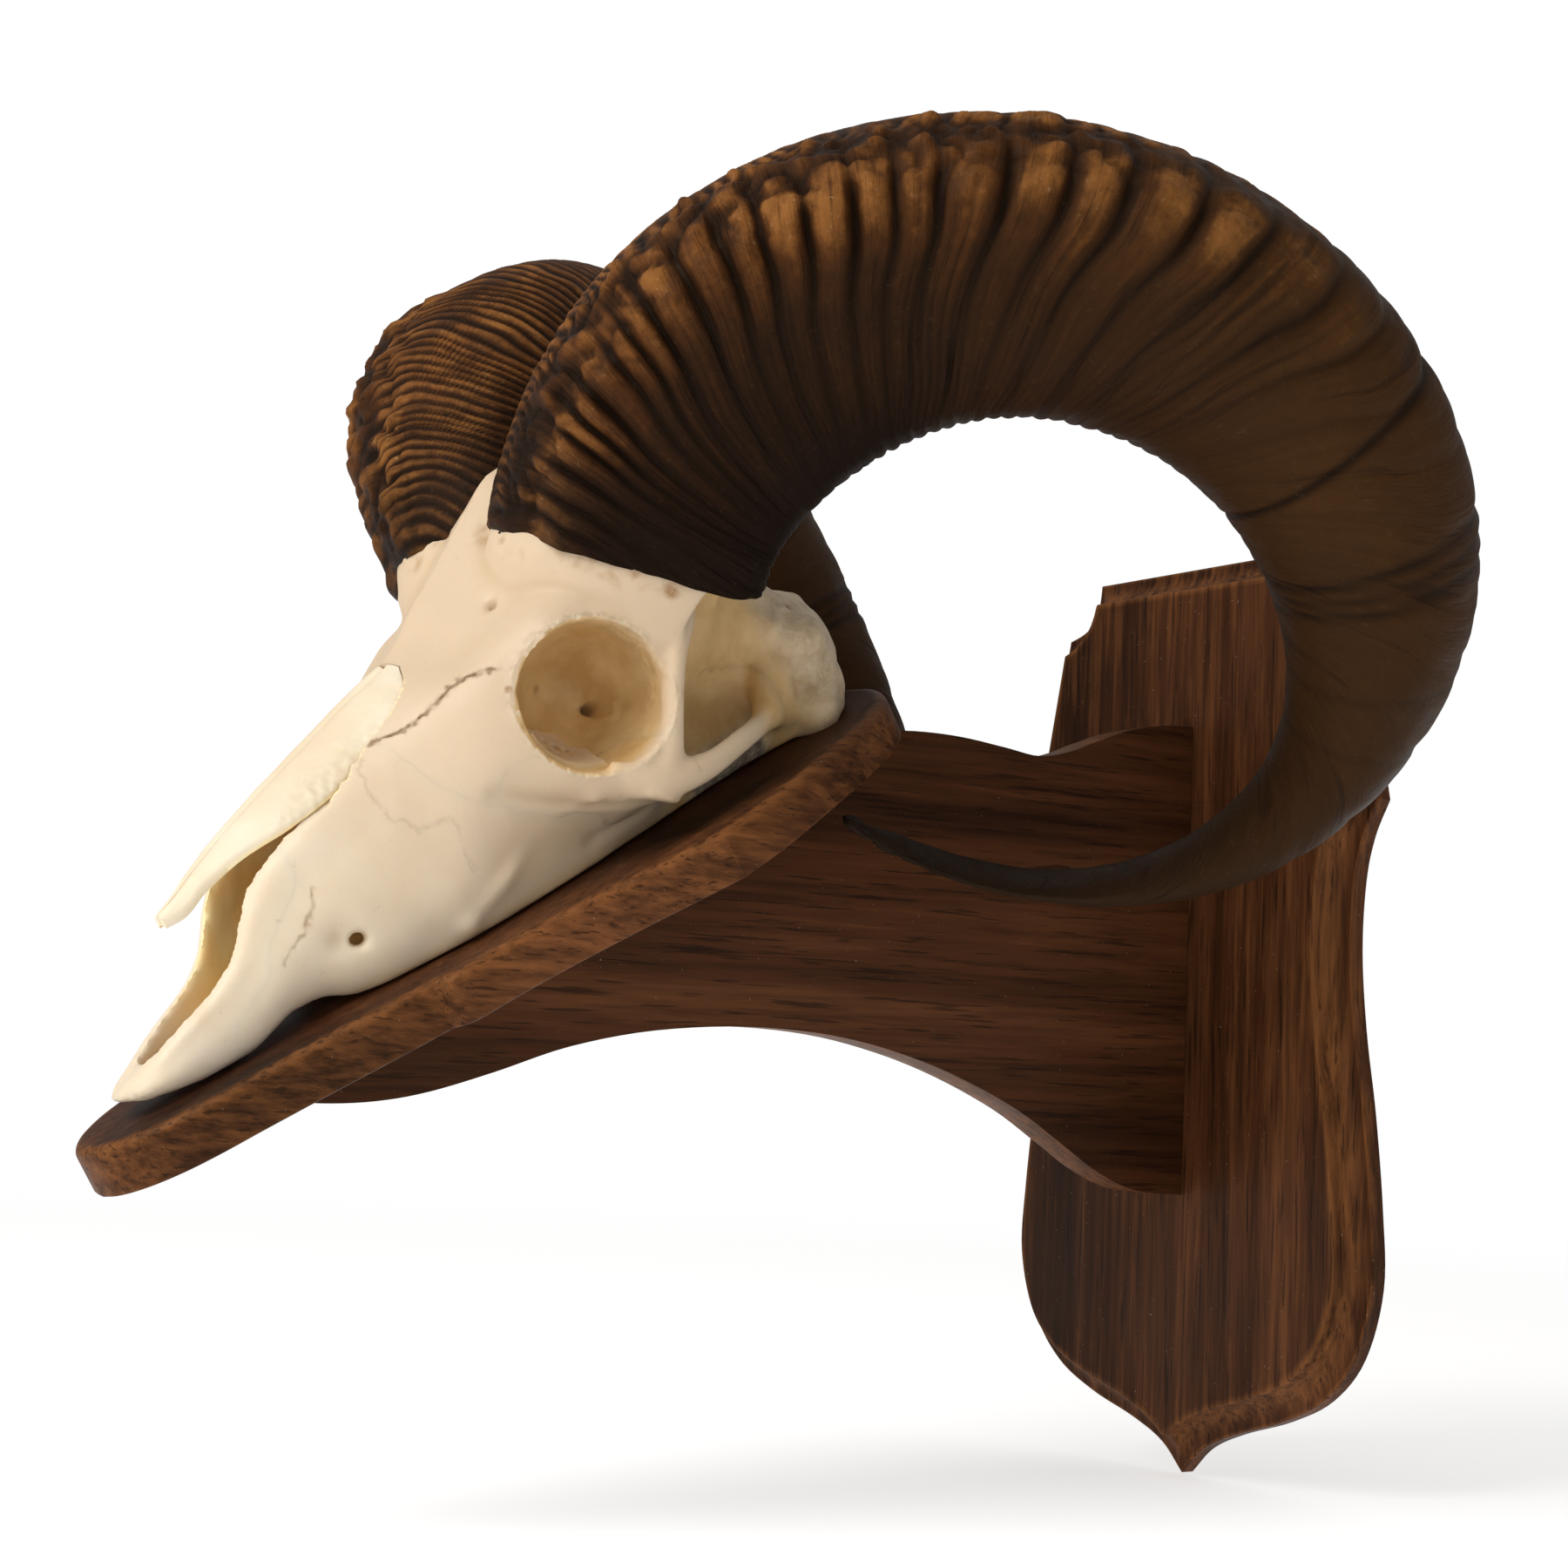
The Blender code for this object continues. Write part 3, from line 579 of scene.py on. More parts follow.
def layered(rims, name):
    """A face filled through the first rim (mm) and extruded to each later one."""
    bpy.ops.object.select_all(action="DESELECT")
    bpy.ops.mesh.primitive_circle_add(vertices=len(rims[0]), radius=0.1, fill_type="NGON")
    piece = bpy.context.object
    piece.name = name
    spots = [Vector(p) * MM for p in rims[0]]
    place_points(piece, np.array([tuple(p) for p in rims[0]]) * MM)
    bpy.ops.object.mode_set(mode="EDIT")
    bpy.ops.mesh.select_all(action="SELECT")
    for rim in rims[1:]:
        bpy.ops.mesh.extrude_region_move()
        bpy.ops.object.mode_set(mode="OBJECT")
        chosen = [v for v in piece.data.vertices if v.select]
        nearest = finder([v.co for v in chosen])
        before, spots = spots, [Vector(p) * MM for p in rim]
        for old, spot in zip(before, spots):
            chosen[nearest(old)].co = spot
        piece.data.update()
        bpy.ops.object.mode_set(mode="EDIT")
    faces_out()
    bpy.ops.object.mode_set(mode="OBJECT")
    return piece


def merged(piece, distance=0.004):
    """Merges points that lie closer than a distance in mm."""
    alone(piece)
    with editing():
        bpy.ops.mesh.remove_doubles(threshold=distance * MM)


def wear_by_ring(piece, rim, wear_and_sheen):
    """Paints each extruded ring's own wear and sheen value; gives the number of rings."""
    ring = np.arange(len(piece.data.vertices)) // len(rim)
    paint(piece, "wear_and_sheen", np.array(wear_and_sheen)[np.minimum(ring, len(wear_and_sheen) - 1)])
    return ring.max() + 1


# %% Wall plate
SCOOP_BULGE, LEDGE, COVE_STEPS = 5.5, 1.2, 9
# Along the hollow moulding and its edge, these values are part rubbed wear and part painted
# highlight.
PLATE_WEAR_AND_SHEEN = (0.1, 0.5, 0.75, 0.3, 0.35, 0.45, 0.55, 0.65, 0.7, 0.75, 0.75, 0.7, 0.7, 0.95,
              0.85, 0.25, 0.0)          # from the back's rim to the front face
side = bowed(PLATE_OUTLINE, 6)
half = side + [Vector(PLATE_SHOULDER)] + scoop(PLATE_SHOULDER, PLATE_TOP, SCOOP_BULGE, 12)
plate_outline = mirrored(half + [Vector(PLATE_TOP)])
cove_reach, cove_rise = PLATE_COVE - 2 * LEDGE, PLATE_THICK - PLATE_FILLET - LEDGE
plate_steps = [(0, 0), (0, PLATE_FILLET - 0.5), (0.5, PLATE_FILLET), (LEDGE, PLATE_FILLET)]
for i in range(1, COVE_STEPS + 1):
    turn = pi / 2 * i / COVE_STEPS
    plate_steps.append((LEDGE + cove_reach * sin(turn), PLATE_FILLET + cove_rise * (1 - cos(turn))))
reach = LEDGE + cove_reach
plate_steps += [(reach + 0.25, PLATE_THICK - 0.3), (reach + 0.7, PLATE_THICK),
                (reach + 2.5, PLATE_THICK)]
plate_rims = [[(p.x, -rise, p.y - PLATE_HEIGHT / 2) for p in inset(plate_outline, inward)]
              for inward, rise in plate_steps]
plate = layered(plate_rims, "wall_plate_dressed")
plate_rings = wear_by_ring(plate, plate_outline, PLATE_WEAR_AND_SHEEN)
merged(plate)
print("wall plate", len(plate.data.vertices), "points in", plate_rings, "rings")

# %% [markdown]
# The arm is a plank on edge, sawn to a double curve above and below, with its free
# edges rounded over. It is drawn from the side, extruded to its thickness and its two
# free rims are bevelled. Where it meets plate and board its edges stay square.

# %% Arm
GAP = 0.3                    # mm between pieces that touch
BOARD_SLOPE, BOARD_ORIGIN, BOARD_THICK, BOARD_ROUND = 32.0, (0.0, -300.0, 3.0), 14.0, 3.0
ARM_WIDTH, ARM_ROUND = 13.0, 2.2
ARM_TOP = ((14.3, 94.6), (28, 93.6), (42, 90.6), (56, 85.6), (68, 81), (80, 78.6),
           (94, 80), (112, 81.6), (130, 81.6), (146, 80))
ARM_BELLY = ((337, -37.3), (324, -38), (308, -37), (292, -34), (272, -28), (248, -20),
             (220, -14.4), (188, -12), (158, -13.2), (132, -17.6), (108, -24.4),
             (84, -34), (66, -44), (50, -53), (34, -58.4), (14.3, -59.6))


def below_board(y):
    """Height of the board's underside above a place on the floor plan."""
    slope = radians(BOARD_SLOPE)
    return (BOARD_ORIGIN[2] + tan(slope) * (y - BOARD_ORIGIN[1])
            - (BOARD_THICK + GAP) / cos(slope))


arm_top = [Vector((-out, z)) for out, z in bowed(ARM_TOP, 5)]
arm_belly = [Vector((-out, z)) for out, z in bowed(ARM_BELLY, 5)]
arm_under = [Vector((y, below_board(y))) for y in (-150.5, -338.5)]
arm_outline = arm_top + arm_under + arm_belly
arm_rims = [[(x, p.x, p.y) for p in arm_outline] for x in (-ARM_WIDTH / 2, ARM_WIDTH / 2)]
arm = layered(arm_rims, "arm_dressed")
with editing("DESELECT"):
    bpy.ops.mesh.select_mode(type="EDGE")
arm_free = {(round(p.x, 2), round(p.y, 2)) for p in arm_top[1:-1] + arm_belly[1:-1]}
for edge in arm.data.edges:
    ends = [arm.data.vertices[v].co / MM for v in edge.vertices]
    on_rim = abs(ends[0].x - ends[1].x) < 1e-3
    edge.select = on_rim and all((round(p.y, 2), round(p.z, 2)) in arm_free for p in ends)
with editing(None):
    bpy.ops.mesh.bevel(offset=ARM_ROUND * MM, segments=4, profile=0.5, affect="EDGES",
                       clamp_overlap=True)
from_side = ARM_WIDTH / 2 - np.abs(points_of(arm)[:, 0] / MM)
paint(arm, "wear_and_sheen", np.where(from_side < 0.01, 0.0, 0.35 + 0.3 * fall(from_side, 0.3, 2.6)))
print("arm", len(arm.data.polygons), "faces")

# %% [markdown]
# The board lies on the arm and slopes down towards the muzzle. Its outline is two
# lobes that meet at small points. It is built flat in the board's own frame, where
# the skull is also drawn, and tipped into place at the end.

# %% Board
BOARD_NOSE = ((0, -104), (8, -102.5), (16, -97.5), (22.5, -89.5), (26.5, -80),
              (29.5, -68), (34, -52), (39, -36), (42.5, -24), (44.5, -16))
BOARD_MIDDLE = ((51.5, -8), (53, 4), (56.5, 18), (62.5, 36), (69, 52), (74.5, 66))
BOARD_REAR = ((72.5, 82), (68, 98), (62.5, 114), (56.5, 130), (48.5, 146),
              (38, 158), (25, 165.5), (12, 168))
board_place = (Matrix.Translation(Vector(BOARD_ORIGIN) * MM)
               @ Matrix.Rotation(radians(BOARD_SLOPE), 4, "X"))


def tipped(piece):
    """Moves a piece drawn in the board's frame to its place, and applies that."""
    alone(piece)
    piece.matrix_world = board_place
    bpy.ops.object.transform_apply(location=True, rotation=True, scale=True)
    return piece


ROUND_STEPS, FOOT_ROUND, POINT_BULGE = 6, 1.2, -1.8
# The high values on the rounded top edge are part rubbed wear and part painted highlight.
BOARD_WEAR_AND_SHEEN = (0.2, 0.5, 0.45, 0.6, 0.7, 0.85, 1.0, 0.95, 0.7, 0.4, 0.15, 0.0)   # from below
board_nose, board_middle = bowed(BOARD_NOSE, 5), bowed(BOARD_MIDDLE, 5)
board_rear = bowed((BOARD_MIDDLE[-1],) + BOARD_REAR, 5)
board_point = scoop(BOARD_NOSE[-1], BOARD_MIDDLE[0], POINT_BULGE, 6)
board_outline = mirrored(board_nose + board_point + board_middle + board_rear[1:])
board_steps = [(FOOT_ROUND, -BOARD_THICK), (0.35, -BOARD_THICK + 0.35),
               (0, -BOARD_THICK + FOOT_ROUND)]
for i in range(ROUND_STEPS + 1):
    turn = pi / 2 * i / ROUND_STEPS
    board_steps.append((BOARD_ROUND * (1 - cos(turn)), BOARD_ROUND * (sin(turn) - 1)))
board_steps += [(BOARD_ROUND + 1.5, 0), (BOARD_ROUND + 6, 0)]
board_rims = [[(p.x, p.y, height) for p in inset(board_outline, inward)]
              for inward, height in board_steps]
board = layered(board_rims, "board_dressed")
board_rings = wear_by_ring(board, board_outline, BOARD_WEAR_AND_SHEEN)
merged(board)
tipped(board)
print("board", len(board.data.vertices), "points in", board_rings, "rings")

# %% [markdown]
# The mount's finish is a dark walnut stain under a thin wax. Real stained wood shows
# four things at once: broad bands of colour, fine grain lines along the board, short
# dark pores, and places where handling has rubbed the stain back to orange-brown. A
# wave texture gives grain that is too regular, so stretched noise is used, and the
# painted wear and sheen value says where hands and edges have rubbed. On the plate's
# hollow moulding and the board's rounded top edge, the same orange-brown is also a
# painted highlight.

# %% Wood finish
STAIN_DEEP, STAIN_MIDDLE, STAIN_LIGHT = ((0.016, 0.0055, 0.0022), (0.056, 0.0185, 0.0066),
                                         (0.112, 0.040, 0.0145))
RUBBED_AND_SHEEN, PORE, DUST = (0.215, 0.080, 0.023), (0.007, 0.003, 0.0015), (0.45, 0.36, 0.27)


def stained_wood(name, along, turn, rub):
    """along is the scale of the pattern on each axis; the grain runs where it is small."""
    wood = Recipe(name, 0.45)
    grain_place = wood.scaled(along, turn)
    bands = wood.noise(grain_place, 26, 3, 0.55, 0.5)
    lines = wood.noise(grain_place, 330, 4, 0.65, 0.2)
    pores = wood.noise(wood.scaled(tuple(v * 1.6 for v in along), turn), 520, 2, 0.5)
    sound = wood.ramp(pores, (0.33, 0.0), (0.41, 1.0))
    patches = wood.noise(wood.place, 24, 4, 0.6, 0.4)
    base = wood.ramp(bands, (0.30, STAIN_DEEP), (0.50, STAIN_MIDDLE), (0.72, STAIN_LIGHT))
    streaks = wood.ramp(lines, (0.34, 0.5), (0.50, 1.0), (0.68, 1.4))
    base = wood.blend(0.75, base, streaks, "MULTIPLY")
    ragged = wood.times(wood.plus(wood.times(patches, 1.1), -0.55), 0.8)
    ragged = wood.plus(wood.attribute("wear_and_sheen"), ragged)
    ragged = wood.plus(ragged, wood.times(wood.minus(lines, 0.5), 1.3))
    # Where the wear and sheen value is high, the stain turns orange-brown: rubbed wear, and on the
    # plate's moulding and the board's top edge also a painted highlight.
    bare_and_sheen = wood.times(wood.ramp(ragged, (0.25, 0.0), (1.05, 1.0)), rub)
    colour = wood.blend(bare_and_sheen, base, wood.blend(0.7, RUBBED_AND_SHEEN, streaks, "MULTIPLY"))
    colour = wood.blend(wood.times(wood.minus(1.0, sound), 0.6), colour, PORE)
    dust = wood.ramp(wood.noise(wood.place, 900, 2, 0.5), (0.735, 0.0), (0.78, 1.0))
    colour = wood.blend(wood.times(dust, 0.35), colour, DUST)
    shine = wood.ramp(patches, (0.3, 0.42), (0.7, 0.60))
    bumps = wood.emboss(sound, 0.0001, strength=0.5)
    bumps = wood.emboss(lines, 0.00012, bumps, 0.5)
    wood.shader.inputs["Specular IOR Level"].default_value = 0.1
    wood.shader.inputs["Specular Tint"].default_value = (1, 0.85, 0.68, 1)
    return wood.finish(colour, shine, bumps)


GRAIN_UP, GRAIN_OUT, GRAIN_DOWN_BOARD = (1, 1, 0.045), (1, 0.045, 1), (1, 0.05, 1)
coat(plate, stained_wood("stained_plate", GRAIN_UP, (0, 0, 0), 0.55))
coat(arm, stained_wood("stained_arm", GRAIN_OUT, (0, 0, 0), 0.5))
coat(board, stained_wood("stained_board", GRAIN_DOWN_BOARD, (-BOARD_SLOPE, 0, 0), 0.55))
for piece, node, angle in ((plate, "wall_plate", 25), (arm, "arm", 30), (board, "board", 25)):
    smooth_below(piece, angle)
    settle(piece, node + "_dressed", "wood", node)
print("mount dressed")

# %% [markdown]
# ## The horns
#
# A ram's horn is a sheath of keratin that grows from its base. Its section is a
# rounded triangle, with a flat front and a keel on the outer front corner, and each
# season's growth leaves ribs across it. It coils because its outer side grows faster.
# A curve with a bevel gives only a round section, so a flat grid is rolled round the
# horn's own spiral instead, dense enough to carry every rib as real relief.

# %% The horn's spiral
HORN_CENTRE = (98.8, -189.4, 72.8)
HORN_YAW, HORN_TILT, HORN_RADIUS = -52.9, 20.7, 101.0
HORN_TIGHTEN = (1.23, -2.58, 0.67)
HORN_START, HORN_SWEEP = 27.7, 287.2
HORN_DRIFT = (-95.2, -318.3)
HORN_TIP_X, HORN_APART, HORN_ROOT = 50.0, 5.5, 3.0
HORN_DEPTH = ((0, 41), (0.12, 44.6), (0.28, 40.7), (0.45, 32.8), (0.65, 13.8),
              (0.85, 4.6), (1, 3.2))
HORN_WIDTH = ((0, 28.5), (0.12, 41), (0.28, 43), (0.45, 36), (0.65, 20), (0.85, 15), (1, 4))
horn_turn = (Matrix.Rotation(radians(HORN_YAW), 3, "Z")
             @ Matrix.Rotation(radians(HORN_TILT), 3, "Y"))


def spiral_point(s, drift3):
    """A point of the horn's middle line, s from 0 at the base to 1 at the tip."""
    angle = radians(HORN_START + HORN_SWEEP * s)
    a, b, c = HORN_TIGHTEN
    radius = HORN_RADIUS * exp(a * s + b * s * s + c * s ** 3)
    along = HORN_DRIFT[0] * s + HORN_DRIFT[1] * s * s + drift3 * s ** 3
    return Vector(HORN_CENTRE) + horn_turn @ Vector((along, -radius * cos(angle),
                                                     radius * sin(angle)))


HORN_DRIFT3 = (HORN_TIP_X - spiral_point(1, 0).x) / horn_turn[0][0]


def horn_frame(t):
    """Centre, outward direction, sideways direction and tangent of the horn at t."""
    here = spiral_point(t, HORN_DRIFT3)
    tangent = (spiral_point(t + 0.002, HORN_DRIFT3) - spiral_point(t - 0.002, HORN_DRIFT3))
    tangent.normalize()
    angle = radians(HORN_START + HORN_SWEEP * t)
    outward = horn_turn @ Vector((0, -cos(angle), sin(angle)))
    outward = (outward - outward.dot(tangent) * tangent).normalized()
    return here, outward, outward.cross(tangent), tangent


print("horn tip at", tuple(round(v) for v in spiral_point(1, HORN_DRIFT3)))

# %% [markdown]
# The ribs follow a rule. Main ribs stand close together at the base and further apart
# towards the bend. Along the keel each swells into a knob. From there it sags towards
# the base as it crosses the cheek, and flattens, with bundles of fine grooves here and
# there. On the front face it splits into thin wavy ones. Past the bend the ribs fade
# into growth rings with a few dark year lines.

# %% The horn's ribs
RIB_FIRST, RIB_STEP, RIB_WIDEN = 7.0, 8.6, 0.038     # mm: first rib, first spacing, its growth
RIB_SPREAD = (0.72, 1.3)                             # how much a spacing may differ
RIBS_HIDDEN = (-44, -34, -24, -14, -5)               # mm: below the base, for the counting
RIBS_PAST_TIP = 40.0                                 # mm: and past the tip, as far as ribs sag
RIB_SAG = ((-180, -40), (-150, -40), (-115, -35), (-80, -24), (-50, -13), (-25, -3.2), (0, 0),
           (20, -1.5), (45, -6), (70, -14), (100, -22), (140, -32), (180, -40))
YEAR_LINES = ((0.405, 1.0), (0.462, 1.0), (0.472, 0.7), (0.481, 0.9), (0.535, 0.35),
              (0.572, 0.3))


def rib_places(length, seed):
    """Where the main ribs lie along the keel, in mm from the base."""
    draw = np.random.default_rng(seed)
    places, at = list(RIBS_HIDDEN), RIB_FIRST
    while at < length + RIBS_PAST_TIP:
        places.append(at)
        at += (RIB_STEP + RIB_WIDEN * at) * draw.uniform(*RIB_SPREAD)
    return np.array(places)


def crest(phase, power):
    """A rib's profile: broad and round on top, with a narrow valley between."""
    return 1 - np.abs(2 * (phase - np.floor(phase)) - 1) ** power


def wrap(angle):
    """An angle brought between -180 and 180 degrees."""
    return (angle + 180) % 360 - 180


print("left horn's first ribs at", rib_places(50, 11).round(1), "mm")

# %% [markdown]
# First comes the smooth horn: rings of points, close together where the ribs will be.
# Every point knows how far along it lies, and how many degrees round from the keel. Its
# zones are worked out from those two, such as the front face, the cheek and the rough
# strip beside the keel. Each zone is 1 inside and fades to 0 at its edges.

# %% The smooth horn
RIBBED_END, RIBBED_RINGS, TAIL_RINGS, HORN_SIDES = 0.46, 440, 130, 168
HORN_EGG, KEEL_REACH = 0.14, 0.85       # shares of the radius
KEEL_TURN = ((0, -58), (0.18, -45), (0.32, -30), (0.5, -14), (1, 0))   # degrees round
KEEL_SWELL, KEEL_PINCH = 0.045, 0.085   # shares of the radius; the pinch is at the mouth
SWELLS = ((40, 24, -0.045), (82, 22, 0.035), (-52, 30, -0.03), (-115, 26, 0.012))


class SmoothHorn:
    """The rings of a smooth left horn, and where each point lies on it."""

    def __init__(self):
        stations = np.concatenate([np.linspace(0, RIBBED_END, RIBBED_RINGS, endpoint=False),
                                   np.linspace(RIBBED_END, 1, TAIL_RINGS)])
        rings = [horn_frame(t) for t in stations]
        centre, outward, across, self.tangent = (np.array([[*ring[k]] for ring in rings])
                                                 for k in range(4))
        self.depth = even_curve(*zip(*HORN_DEPTH), stations)[:, None]
        self.width = even_curve(*zip(*HORN_WIDTH), stations)[:, None]
        keel_line = centre + outward * (self.depth * KEEL_REACH)
        steps = np.linalg.norm(np.diff(keel_line, axis=0), axis=1)
        self.arc = np.concatenate([[0], np.cumsum(steps)])
        self.s = self.arc[:, None] * np.ones(HORN_SIDES)      # mm from the base
        self.t = stations[:, None] * np.ones(HORN_SIDES)      # 0 at the base, 1 at the tip
        around = np.arange(HORN_SIDES) * 360.0 / HORN_SIDES
        theta = around[None, :] * np.ones((len(stations), 1))
        self.keel = even_curve(*zip(*KEEL_TURN), stations)[:, None]
        self.psi = wrap(theta - self.keel)      # degrees from the keel, positive in front
        self.centre, self.outward, self.across = (v[:, None] for v in (centre, outward, across))
        self.draw_skin(np.radians(theta))
        self.mark_zones()

    def bell(self, middle, wide):
        """1 at an angle from the keel, falling to 0 on both sides."""
        return np.exp(-(wrap(self.psi - middle) / wide) ** 2)

    def draw_skin(self, turn):
        """The points, and the way straight out of the horn at each."""
        swell = (KEEL_SWELL - KEEL_PINCH * fall(self.s, 0, 17)) * self.bell(0, 20)
        for middle, wide, share in SWELLS:
            swell = swell + share * self.bell(middle, wide)
        size = 1 + fall(self.t, 0.3, 0.62) * swell
        deep = self.depth * size * np.cos(turn)
        wide = self.width * size * (1 + HORN_EGG * np.cos(turn)) * np.sin(turn)
        self.points = self.centre + self.outward * deep[..., None] + self.across * wide[..., None]
        way = (self.outward * (np.cos(turn) / self.depth)[..., None]
               + self.across * (np.sin(turn) / self.width)[..., None])
        self.radial = way / np.linalg.norm(way, axis=-1, keepdims=True)

    def mark_zones(self):
        """Shares from 0 to 1: how much each point belongs to each zone."""
        s, t, psi = self.s, self.t, self.psi
        self.front = ease(psi, 9, 24) * fall(psi, 95, 125)
        self.cheek = ease(-psi, 8, 30) * fall(-psi, 150, 175)
        self.slope = ease(-psi, 20, 50) * fall(-psi, 75, 130)
        self.shoulder = ease(-psi, 3, 15) * self.bell(-20, 19)
        self.strip = ease(psi, -17, -4) * fall(psi, 24, 38) * fall(t, 0.22, 0.36) * ease(s, 1, 7)
        self.low = fall(s, 12, 34)
        self.ribbed = fall(t, 0.31, 0.43)
        self.early = fall(t, 0.13, 0.24)


smooth_horn = SmoothHorn()
print("smooth horn:", smooth_horn.s.shape, "points,", round(smooth_horn.arc[-1]), "mm long")

# %% The forms that cross it


def year_line(horn, stray, at):
    """1 on a year line at a place along the horn, 0 a little way off."""
    slant = 0.012 * ease(-horn.psi, 20, 150)
    return np.exp(-((horn.t - at - slant - 0.002 * stray) / 0.0026) ** 2)


class Ribs:
    """A horn's own ribs: each form is 1 on its crests and 0 in its valleys."""

    def __init__(self, horn, seed):
        skin, self.seed = horn.points, seed
        self.stray, self.jolt = uneven(skin, 30, seed + 1), uneven(skin, 11, seed + 2)
        wave = 4.0 * np.sin(np.radians(horn.psi * 3.6 - 40)) + 2.5 * self.stray
        bend = even_curve(*zip(*RIB_SAG), horn.psi) * (0.55 + 0.45 * ease(horn.s, 10, 60))
        bend = bend + horn.front * wave * fall(horn.t, 0.2, 0.34)
        bend = bend + 1.5 * self.stray + 0.8 * self.jolt * (1 - 0.5 * horn.cheek)
        places = rib_places(horn.arc[-1], seed)
        self.count, lot = np.arange(len(places)), np.random.default_rng(seed + 3)
        self.number = number = np.interp(horn.s - bend, places, self.count)
        self.knob = self.each_has(lot.uniform(0.5, 1.2, len(places)))
        self.bundle = self.each_has(lot.uniform(-0.5, 1.2, len(places)).clip(0, 1))
        self.bundle = self.bundle * (0.45 + 0.55 * ease(uneven(skin, 26, seed + 9), -0.3, 0.4))
        self.main = crest(np.floor(number) + (number - np.floor(number)) ** 1.3, 3.0)
        self.double = crest(2 * number + 0.3 * self.stray, 1.8)
        self.fine = crest(4 * number + 0.9 * uneven(skin, 22, seed + 5), 1.6)
        self.wrinkle = crest(11 * number + 1.6 * self.jolt, 1.6)
        many = crest(2.5 * number + 0.45 * uneven(skin, 13, seed + 4), 1.8)
        self.thin = horn.early * many + (1 - horn.early) * (0.55 * self.double + 0.45 * self.main)
        self.lumps = np.abs(0.75 * uneven(skin, 8.5, seed + 6) + 0.5 * uneven(skin, 4.6, seed + 12))
        self.cobble = 2.2 * self.lumps - 0.8
        self.years = [deep * year_line(horn, self.stray, at) for at, deep in YEAR_LINES]

    def each_has(self, values):
        """One value for each rib, blended from rib to rib."""
        return np.interp(self.number, self.count, values)


def rib_heights(horn, ribs):
    """Heights in mm of the ribs, knobs and fine grooves over the smooth horn."""
    knobs = (0.7 + 1.9 * ease(horn.t, 0.06, 0.16)) * horn.bell(-2, 15)
    main = (ribs.main * (1 - 0.5 * horn.low) * ribs.knob
            * (knobs + 3.9 * horn.shoulder + 1.0 * horn.slope))
    behind = 0.35 * ribs.main * ease(np.abs(horn.psi), 100, 140)
    front = horn.front * ribs.thin * (1 - 0.45 * (1 - horn.early) * ease(horn.psi, 20, 60))
    base = 0.5 * horn.low * horn.cheek * ribs.double
    bundles = 0.7 * horn.cheek * ribs.fine * ribs.bundle * fall(-horn.psi, 95, 135)
    wrinkles = 0.16 * ribs.wrinkle * (horn.bell(-6, 30) + 0.1 * horn.front)
    return horn.ribbed * (main + behind + front + base + bundles + wrinkles)


def growth_heights(horn, ribs):
    """Heights in mm of all else that grew: lumps, rings past the bend, year lines, the tip."""
    skin, seed, t = horn.points, ribs.seed, horn.t
    gnarled = 1.7 * horn.strip * ribs.cobble + 0.4 * horn.strip * uneven(skin, 2.4, seed + 10)
    knobbly = horn.ribbed * 0.35 * ribs.cobble * horn.bell(-12, 24)
    rings = 0.5 * ribs.main * (0.35 + horn.bell(0, 50)) + 0.22 * ribs.double
    rings = (1 - horn.ribbed) * rings * fall(t, 0.6, 0.75)
    wide_lumps = 0.30 * uneven(skin, 8, seed + 11) * (1 - 0.6 * ease(t, 0.5, 0.7))
    inner_edge = horn.bell(wrap(180 - horn.keel) - 6, 34)
    scallops = (0.8 * inner_edge * (crest(horn.s / 9.2 + 0.3 * ribs.stray, 2) - 0.5)
                * ease(t, 0.1, 0.16) * horn.ribbed)
    frayed = ease(t, 0.9, 1.0) * (1.4 * uneven(skin, 4.2, seed + 7) - 0.5)
    return gnarled + knobbly + rings + wide_lumps + scallops - sum(ribs.years) + frayed


# %% Rolling one horn
SINK, LIP, SKIN_APART = 1.0, 1.3, 0.6      # mm: ribs start below the solid's skin
TIP_RINGS = ((1.4, 0.78), (2.4, 0.45))     # mm past the last ring, share of its size
RIB_SCALE = 64.0                           # painted values end at 1, so rib numbers shrink


def ribbed_skin(horn, ribs, side):
    """The horn's points with their relief, its rim drawn down round the bone."""
    height = rib_heights(horn, ribs) + growth_heights(horn, ribs)
    height = height - LIP * fall(horn.s, 0, 2.6) - SINK
    skin = horn.points + horn.radial * height[..., None]
    rim = (-HORN_ROOT - 2.6 * horn.bell(-100, 34) + 2.6 * horn.bell(4, 22)
           + 0.8 * horn.bell(-48, 22) + 0.8 * uneven(skin, 6, ribs.seed + 8))
    skin = skin + horn.tangent[:, None] * (fall(horn.s, 0, 18) * rim)[..., None]
    short = np.maximum(HORN_APART - SKIN_APART - skin[..., 0], 0)      # keeps the horns apart
    skin = skin + horn.across * (short / horn.across[..., 0])[..., None]
    return skin * (side, 1, 1)


